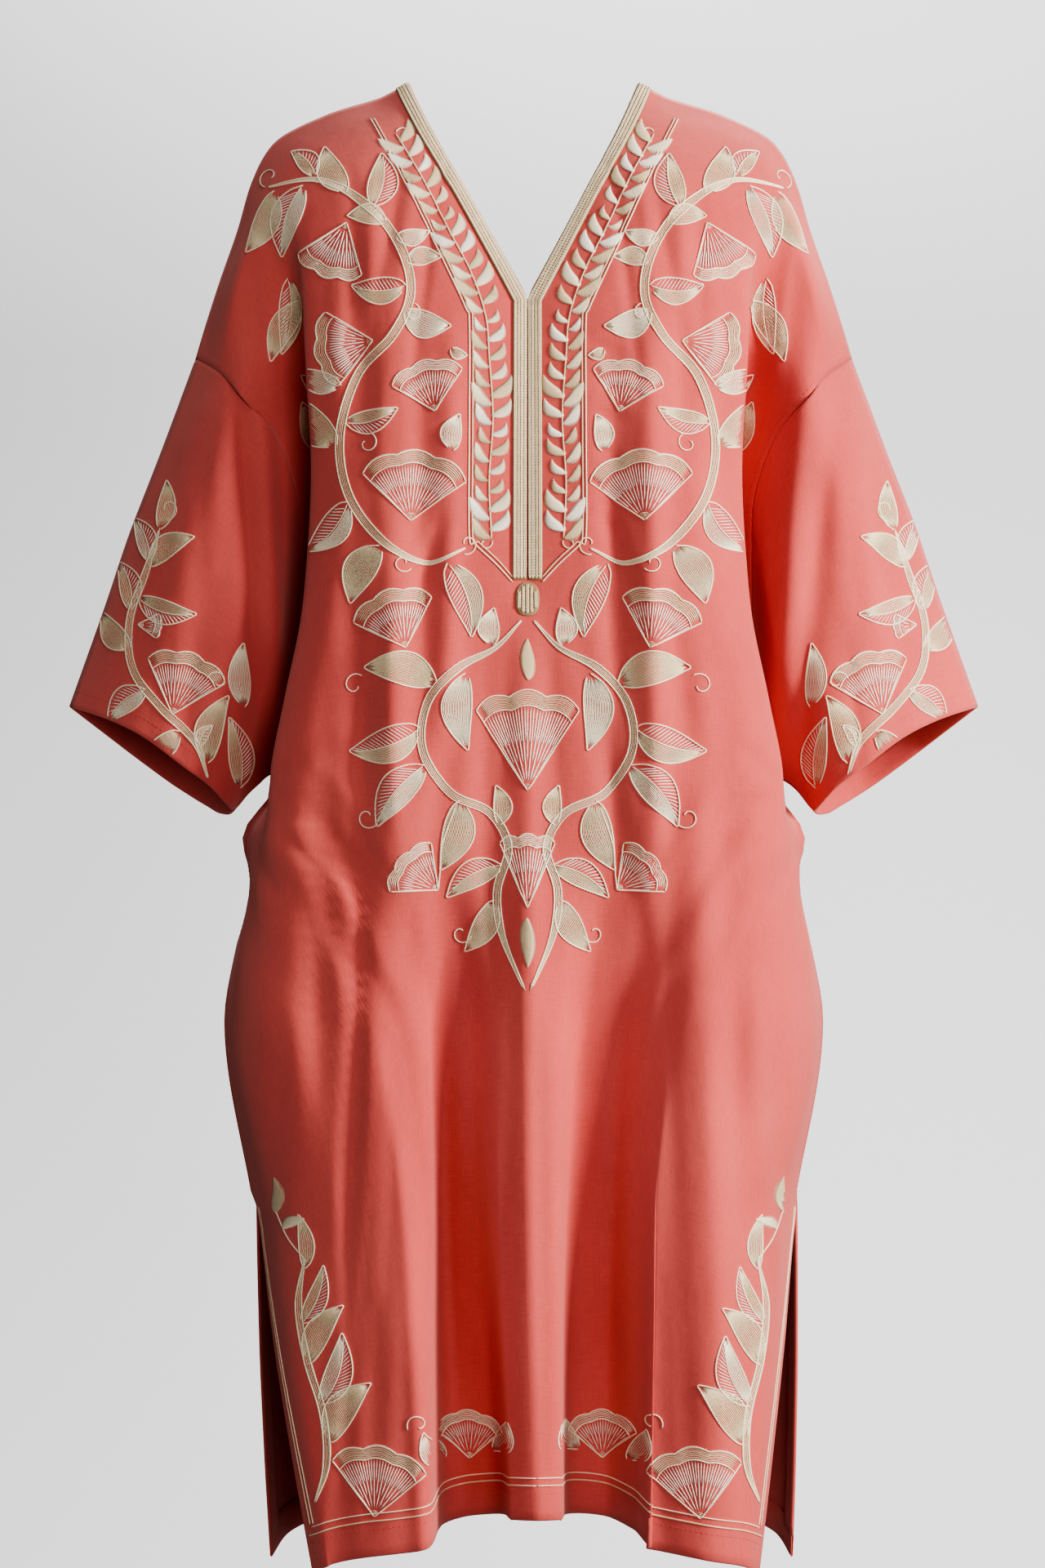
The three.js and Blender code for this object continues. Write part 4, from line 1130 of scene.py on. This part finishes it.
def draw_chest(work):
    ribbon(work, CHEST_STEM, 6.5)
    for x, z, angle, length, width, bend, style, tone in CHEST_LEAVES:
        leaf(work, x, z, angle, length, width, bend, style, tone)
    fan(work, 94, -372, 95, 100, 7, 54, 3, 9)
    fan(work, 74, -284, 76, 92, 6, 40, 3, 7, IVORY)
    fan(work, 124, -226, 350, 84, 6, 46, 3, 8)
    fan(work, 146, -128, 292, 76, 6, 46, 3, 8, IVORY)
    scroll(work, 54, -398, 200, 9, 0.9, -1)
    scroll(work, 92, -408, 300, 8, 1.0, 1)
    scroll(work, 212, -92, 20, 10, 0.9, 1)
    scroll(work, 94, -196, 190, 8, 0.9, 1)
    scroll(work, 128, -300, 200, 9, 0.9, 1)


embroidery("embroidery_chest", draw_chest)

# The centre work: below the tab two filled stems part and close again down the front, with leaves
# and palmettes in pairs, and come to a point above the skirt's folds.
CENTRE_STEM = [(5, -452), (26, -474), (56, -490), (80, -518), (84, -556), (62, -590), (30, -606), (15, -634),
               (24, -668), (20, -704), (2, -748)]
CENTRE_LEAVES = [
    (72, -502, 12, 60, 27, 6, "full", BEIGE), (86, -538, 342, 60, 28, -6, "half", BEIGE),
    (82, -568, 308, 62, 27, 6, "half", IVORY), (54, -596, 286, 58, 25, -6, "full", BEIGE),
    (20, -648, 330, 52, 22, 6, "half", BEIGE), (26, -676, 300, 48, 20, -4, "full", BEIGE),
    (50, -494, 268, 62, 24, 8, "full", IVORY), (28, -472, 92, 30, 17, -4, "full", IVORY),
    (22, -616, 84, 32, 15, 4, "full", BEIGE),
]


def draw_centre(work):
    ribbon(work, CENTRE_STEM, 6)
    for x, z, angle, length, width, bend, style, tone in CENTRE_LEAVES:
        leaf(work, x, z, angle, length, width, bend, style, tone)
    fan(work, 98, -474, 72, 92, 6, 46, 3, 9)
    fan(work, 72, -668, 40, 84, 5, 38, 3, 7, IVORY)
    scroll(work, 130, -498, 40, 10, 0.9, -1)
    scroll(work, 44, -702, 280, 9, 0.9, 1)
    scroll(work, 118, -612, 300, 10, 0.9, 1)
    work.cord([(58, -602), (68, -630), (70, -650), (72, -668)], IVORY)


def draw_middle(work):
    fan(work, 0, -588, 90, 66, 6, 76, 3, 11)
    fan(work, 0, -682, 90, 46, 5, 56, 3, 8, IVORY)
    satin_leaf(work, 0, -690, 270, 40, 13, 0, BEIGE)
    satin_leaf(work, 0, -500, 90, 34, 13, 0, BEIGE)


embroidery("embroidery_centre", draw_centre)
embroidery("embroidery_middle", draw_middle, (1,))

# The cuff work: on each sleeve a spray of leaves and palmettes rises from the hem on the front,
# and another like it on the back.
CUFF_STEM = [(262, -578), (272, -548), (300, -520), (324, -488), (327, -448), (314, -410), (302, -372)]
CUFF_LEAVES = [
    (262, -566, 108, 58, 22, -7, "full", BEIGE), (268, -552, 122, 20, 10, -3, "half", BEIGE),
    (312, -506, 322, 42, 22, 5, "half", IVORY), (326, -472, 50, 42, 20, -5, "full", BEIGE),
    (326, -440, 72, 44, 20, 5, "half", BEIGE), (312, -404, 150, 46, 20, -6, "full", BEIGE),
    (310, -400, 66, 42, 18, 4, "half", IVORY), (302, -374, 96, 42, 16, 3, "full", BEIGE),
    (284, -540, 330, 36, 18, -4, "full", BEIGE), (238, -586, 84, 58, 19, 5, "half", BEIGE),
    (320, -430, 196, 52, 20, 6, "half", BEIGE), (232, -520, 90, 52, 16, -4, "full", IVORY),
]


def draw_cuff(work):
    ribbon(work, CUFF_STEM, 6)
    for x, z, angle, length, width, bend, style, tone in CUFF_LEAVES:
        leaf(work, x, z, angle, length, width, bend, style, tone)
    fan(work, 290, -526, 108, 84, 6, 50, 3, 9)
    fan(work, 320, -452, 186, 60, 5, 20, 3, 5, IVORY)
    scroll(work, 262, -500, 100, 9, 0.9, 1)
    scroll(work, 300, -366, 190, 10, 0.9, -1)


embroidery("embroidery_cuffs", draw_cuff)
embroidery("embroidery_cuff_backs", draw_cuff, (-1, 1), back_field)

# The hem work: at each front corner a tall spray stands on the couched border, and smaller
# palmettes stand in the two hollows beside the middle fold. A bud marks the top of each slit.
HEM_STEM = [(178, -1160), (168, -1128), (170, -1088), (182, -1046), (188, -1004), (182, -966)]
HEM_LEAVES = [
    (167, -1112, 126, 62, 24, -7, "full", BEIGE),
    (172, -1082, 108, 62, 22, 7, "half", IVORY), (182, -1050, 122, 58, 20, -6, "full", BEIGE),
    (186, -1018, 112, 52, 16, 5, "half", BEIGE), (182, -974, 84, 44, 13, 4, "full", BEIGE),
    (34, -1124, 112, 32, 14, 4, "full", IVORY), (74, -1130, 62, 34, 14, -4, "full", IVORY),
]


def draw_hem(work):
    ribbon(work, HEM_STEM, 5.5)
    for x, z, angle, length, width, bend, style, tone in HEM_LEAVES:
        leaf(work, x, z, angle, length, width, bend, style, tone)
    fan(work, 130, -1168, 96, 88, 6, 54, 3, 9)
    fan(work, 54, -1132, 90, 96, 5, 38, 3, 7, IVORY)
    scroll(work, 100, -1100, 60, 9, 0.9, 1)
    work.cord([(182, -966), (196, -950), (206, -930)], IVORY)
    satin_leaf(work, 206, -932, 88, 30, 12, 3, BEIGE)
    satin_leaf(work, 200, -944, 150, 22, 10, -3, IVORY)


embroidery("embroidery_hem", draw_hem)


# The borders and the hems' stitching: two couched cords run beside the slits and above the hem,
# on the front and the back, and small coral stitches hold the turned-up edges.
BORDER_DISTANCES = [(0.0125, 0.027, BEIGE, 1.0), (0.0185, 0.033, IVORY, 0.8)]
HEM_STITCH_LINE = 0.0205
SLIT_STITCH_LINE = 0.0095
CUFF_STITCH_LINE = 0.0135
SEAM_STITCH_LINE = 0.0055
STITCH_PITCH = 0.0042
STITCH_LENGTH = 0.003
STITCH_RADIUS = 0.0003


def inward(points, normals, distance):
    """The line at a distance from the edge; the rows run away from that edge, one from each of its points."""
    steps = np.linalg.norm(np.diff(points, axis=1), axis=2)
    reach = np.concatenate([np.zeros((len(points), 1)), np.cumsum(steps, axis=1)], axis=1)
    line, ups = np.empty((len(points), 3)), np.empty((len(points), 3))
    for i in range(len(points)):
        for k in range(3):
            line[i, k] = np.interp(distance, reach[i], points[i, :, k])
            ups[i, k] = np.interp(distance, reach[i], normals[i, :, k])
    return line, ups


def couched(line, ups, tone, thickness):
    """A twisted cord laid on the cloth along a line."""
    both = resampled(np.concatenate([line, ups * MM], axis=1), CORD_STEP)
    points, normals = both[:, :3], both[:, 3:]
    normals = normals / np.linalg.norm(normals, axis=1, keepdims=True)
    points = points + normals * (CLOTH_THICKNESS / 2 + 0.0004)
    taper = np.ones(len(points))
    taper[1::2] = 0.74
    taper[[0, -1]] = 0.35
    radii = (CORD_RADIUS * thickness * taper)[None]
    return thread_batch(points[None], normals[None], radii, radii * 0.85, 4, tone)


def stitches(line, ups):
    """A row of running stitches along a line, each dipping into the cloth at both ends."""
    reach = np.linalg.norm(np.diff(line, axis=0), axis=1).sum()
    middles = np.arange(STITCH_PITCH, reach - STITCH_PITCH, STITCH_PITCH)
    share = np.array([-0.5, -0.25, 0.25, 0.5])
    places = middles[:, None] + share * STITCH_LENGTH
    points, normals = beside(line, ups, places, np.zeros_like(places))
    normals /= np.linalg.norm(normals, axis=-1, keepdims=True)
    lift = CLOTH_THICKNESS / 2 + np.array([-0.0003, 0.0001, 0.0001, -0.0003])
    radii = np.full(places.shape, STITCH_RADIUS)
    return thread_batch(points + normals * lift[:, None], normals, radii, radii, 3, 0.0)


border_cords, hem_stitches = [], []
for facing, grids in ((-1, front_grids), (1, back_grids)):
    for side, grid in zip((-1, 1), grids):
        normals = grid_normals(grid, -side * facing)
        slit = slice(SLIT_ROW, None)
        from_side = grid[slit, ::-1], normals[slit, ::-1]
        from_hem = grid[::-1].swapaxes(0, 1), normals[::-1].swapaxes(0, 1)
        for slit_distance, hem_distance, tone, thickness in BORDER_DISTANCES:
            line, ups = inward(*from_side, slit_distance)
            above = line[:, 2] > line[-1, 2] + hem_distance
            border_cords.append(couched(line[above], ups[above], tone, thickness))
            line, ups = inward(*from_hem, hem_distance)
            side_line = inward(grid[-6:, ::-1], normals[-6:, ::-1], slit_distance)[0]
            within = np.abs(line[:, 0]) < np.abs(side_line[0, 0])
            border_cords.append(couched(line[within], ups[within], tone, thickness))
        hem_stitches.append(stitches(*inward(*from_hem, HEM_STITCH_LINE)))
        hem_stitches.append(stitches(*inward(*from_side, SLIT_STITCH_LINE)))
        seam = slice(UNDERARM_ROW, SLIT_ROW + 2)
        hem_stitches.append(stitches(*inward(grid[seam, ::-1], normals[seam, ::-1], SEAM_STITCH_LINE)))
        armhole = slice(1, UNDERARM_ROW)
        hem_stitches.append(stitches(*inward(grid[armhole, ::-1], normals[armhole, ::-1], SEAM_STITCH_LINE)))
for side, grid in sleeve_grids.items():
    normals = grid_normals(grid, side)
    hem_stitches.append(stitches(*inward(grid[:, ::-1], normals[:, ::-1], CUFF_STITCH_LINE)))
borders = thread_object("border_cords", border_cords)
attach(borders, "root")
stitching = thread_object("hem_stitches", hem_stitches, CORAL)
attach(stitching, "root")

# The tab: a small padded oval of the same worked cords, sewn below the foot of the slit.
TAB_TOP = -0.4215
TAB_LENGTH = 0.0265
TAB_HALF_WIDTH = 0.0095
TAB_HEIGHTS = [(1.0, 0.0), (1.03, 0.0005), (1.0, 0.0011), (0.8, 0.0014), (0.45, 0.0015), (0.12, 0.0015)]
TAB_CORDS = [(-0.0068, 0.55), (-0.0034, 0.86), (0.0, 0.97), (0.0034, 0.86), (0.0068, 0.55)]
TAB_SIDES = 28

tab_middle = TAB_TOP - TAB_LENGTH / 2
tab_x = float(sway(np.zeros((1, 1)), np.array([PLACKET_END]))[0, 0]) * MM
turns = 2 * np.pi * np.arange(TAB_SIDES) / TAB_SIDES
outline = np.stack([np.sign(np.cos(turns)) * np.abs(np.cos(turns)) ** 0.75 * TAB_HALF_WIDTH,
                    np.sign(np.sin(turns)) * np.abs(np.sin(turns)) ** 0.75 * TAB_LENGTH / 2], axis=1)
rings = []
for size, height in TAB_HEIGHTS:
    points, normals = on_cloth(front_field, np.array([tab_x, tab_middle]) + outline * size)
    rings.append(points + normals * (height + CLOTH_THICKNESS / 2))
ring = np.stack(rings)
index = np.arange(len(rings) * TAB_SIDES).reshape(len(rings), TAB_SIDES)
after = np.roll(index, -1, axis=1)
quads = np.stack([index[:-1], after[:-1], after[1:], index[1:]], axis=2).reshape(-1, 4)
# The tab's ground takes the dark tan too: painted shade between its cords.
tab_batches = [(ring.reshape(-1, 3), quads, [index[:1, ::-1], index[-1:]], np.full(index.size, TAN_GROOVE_SHADE))]
for aside, share in TAB_CORDS:
    heights = np.linspace(1, -1, 14) * share * TAB_LENGTH / 2
    path = np.stack([np.full(14, tab_x + aside), tab_middle + heights], axis=1)
    points, normals = on_cloth(front_field, path)
    tab_batches += chain_cord(points, normals, front_tree, 1, 0.0, 0.42)
tab = thread_object("tab", tab_batches)
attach(tab, "root")
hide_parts("placket_tab")
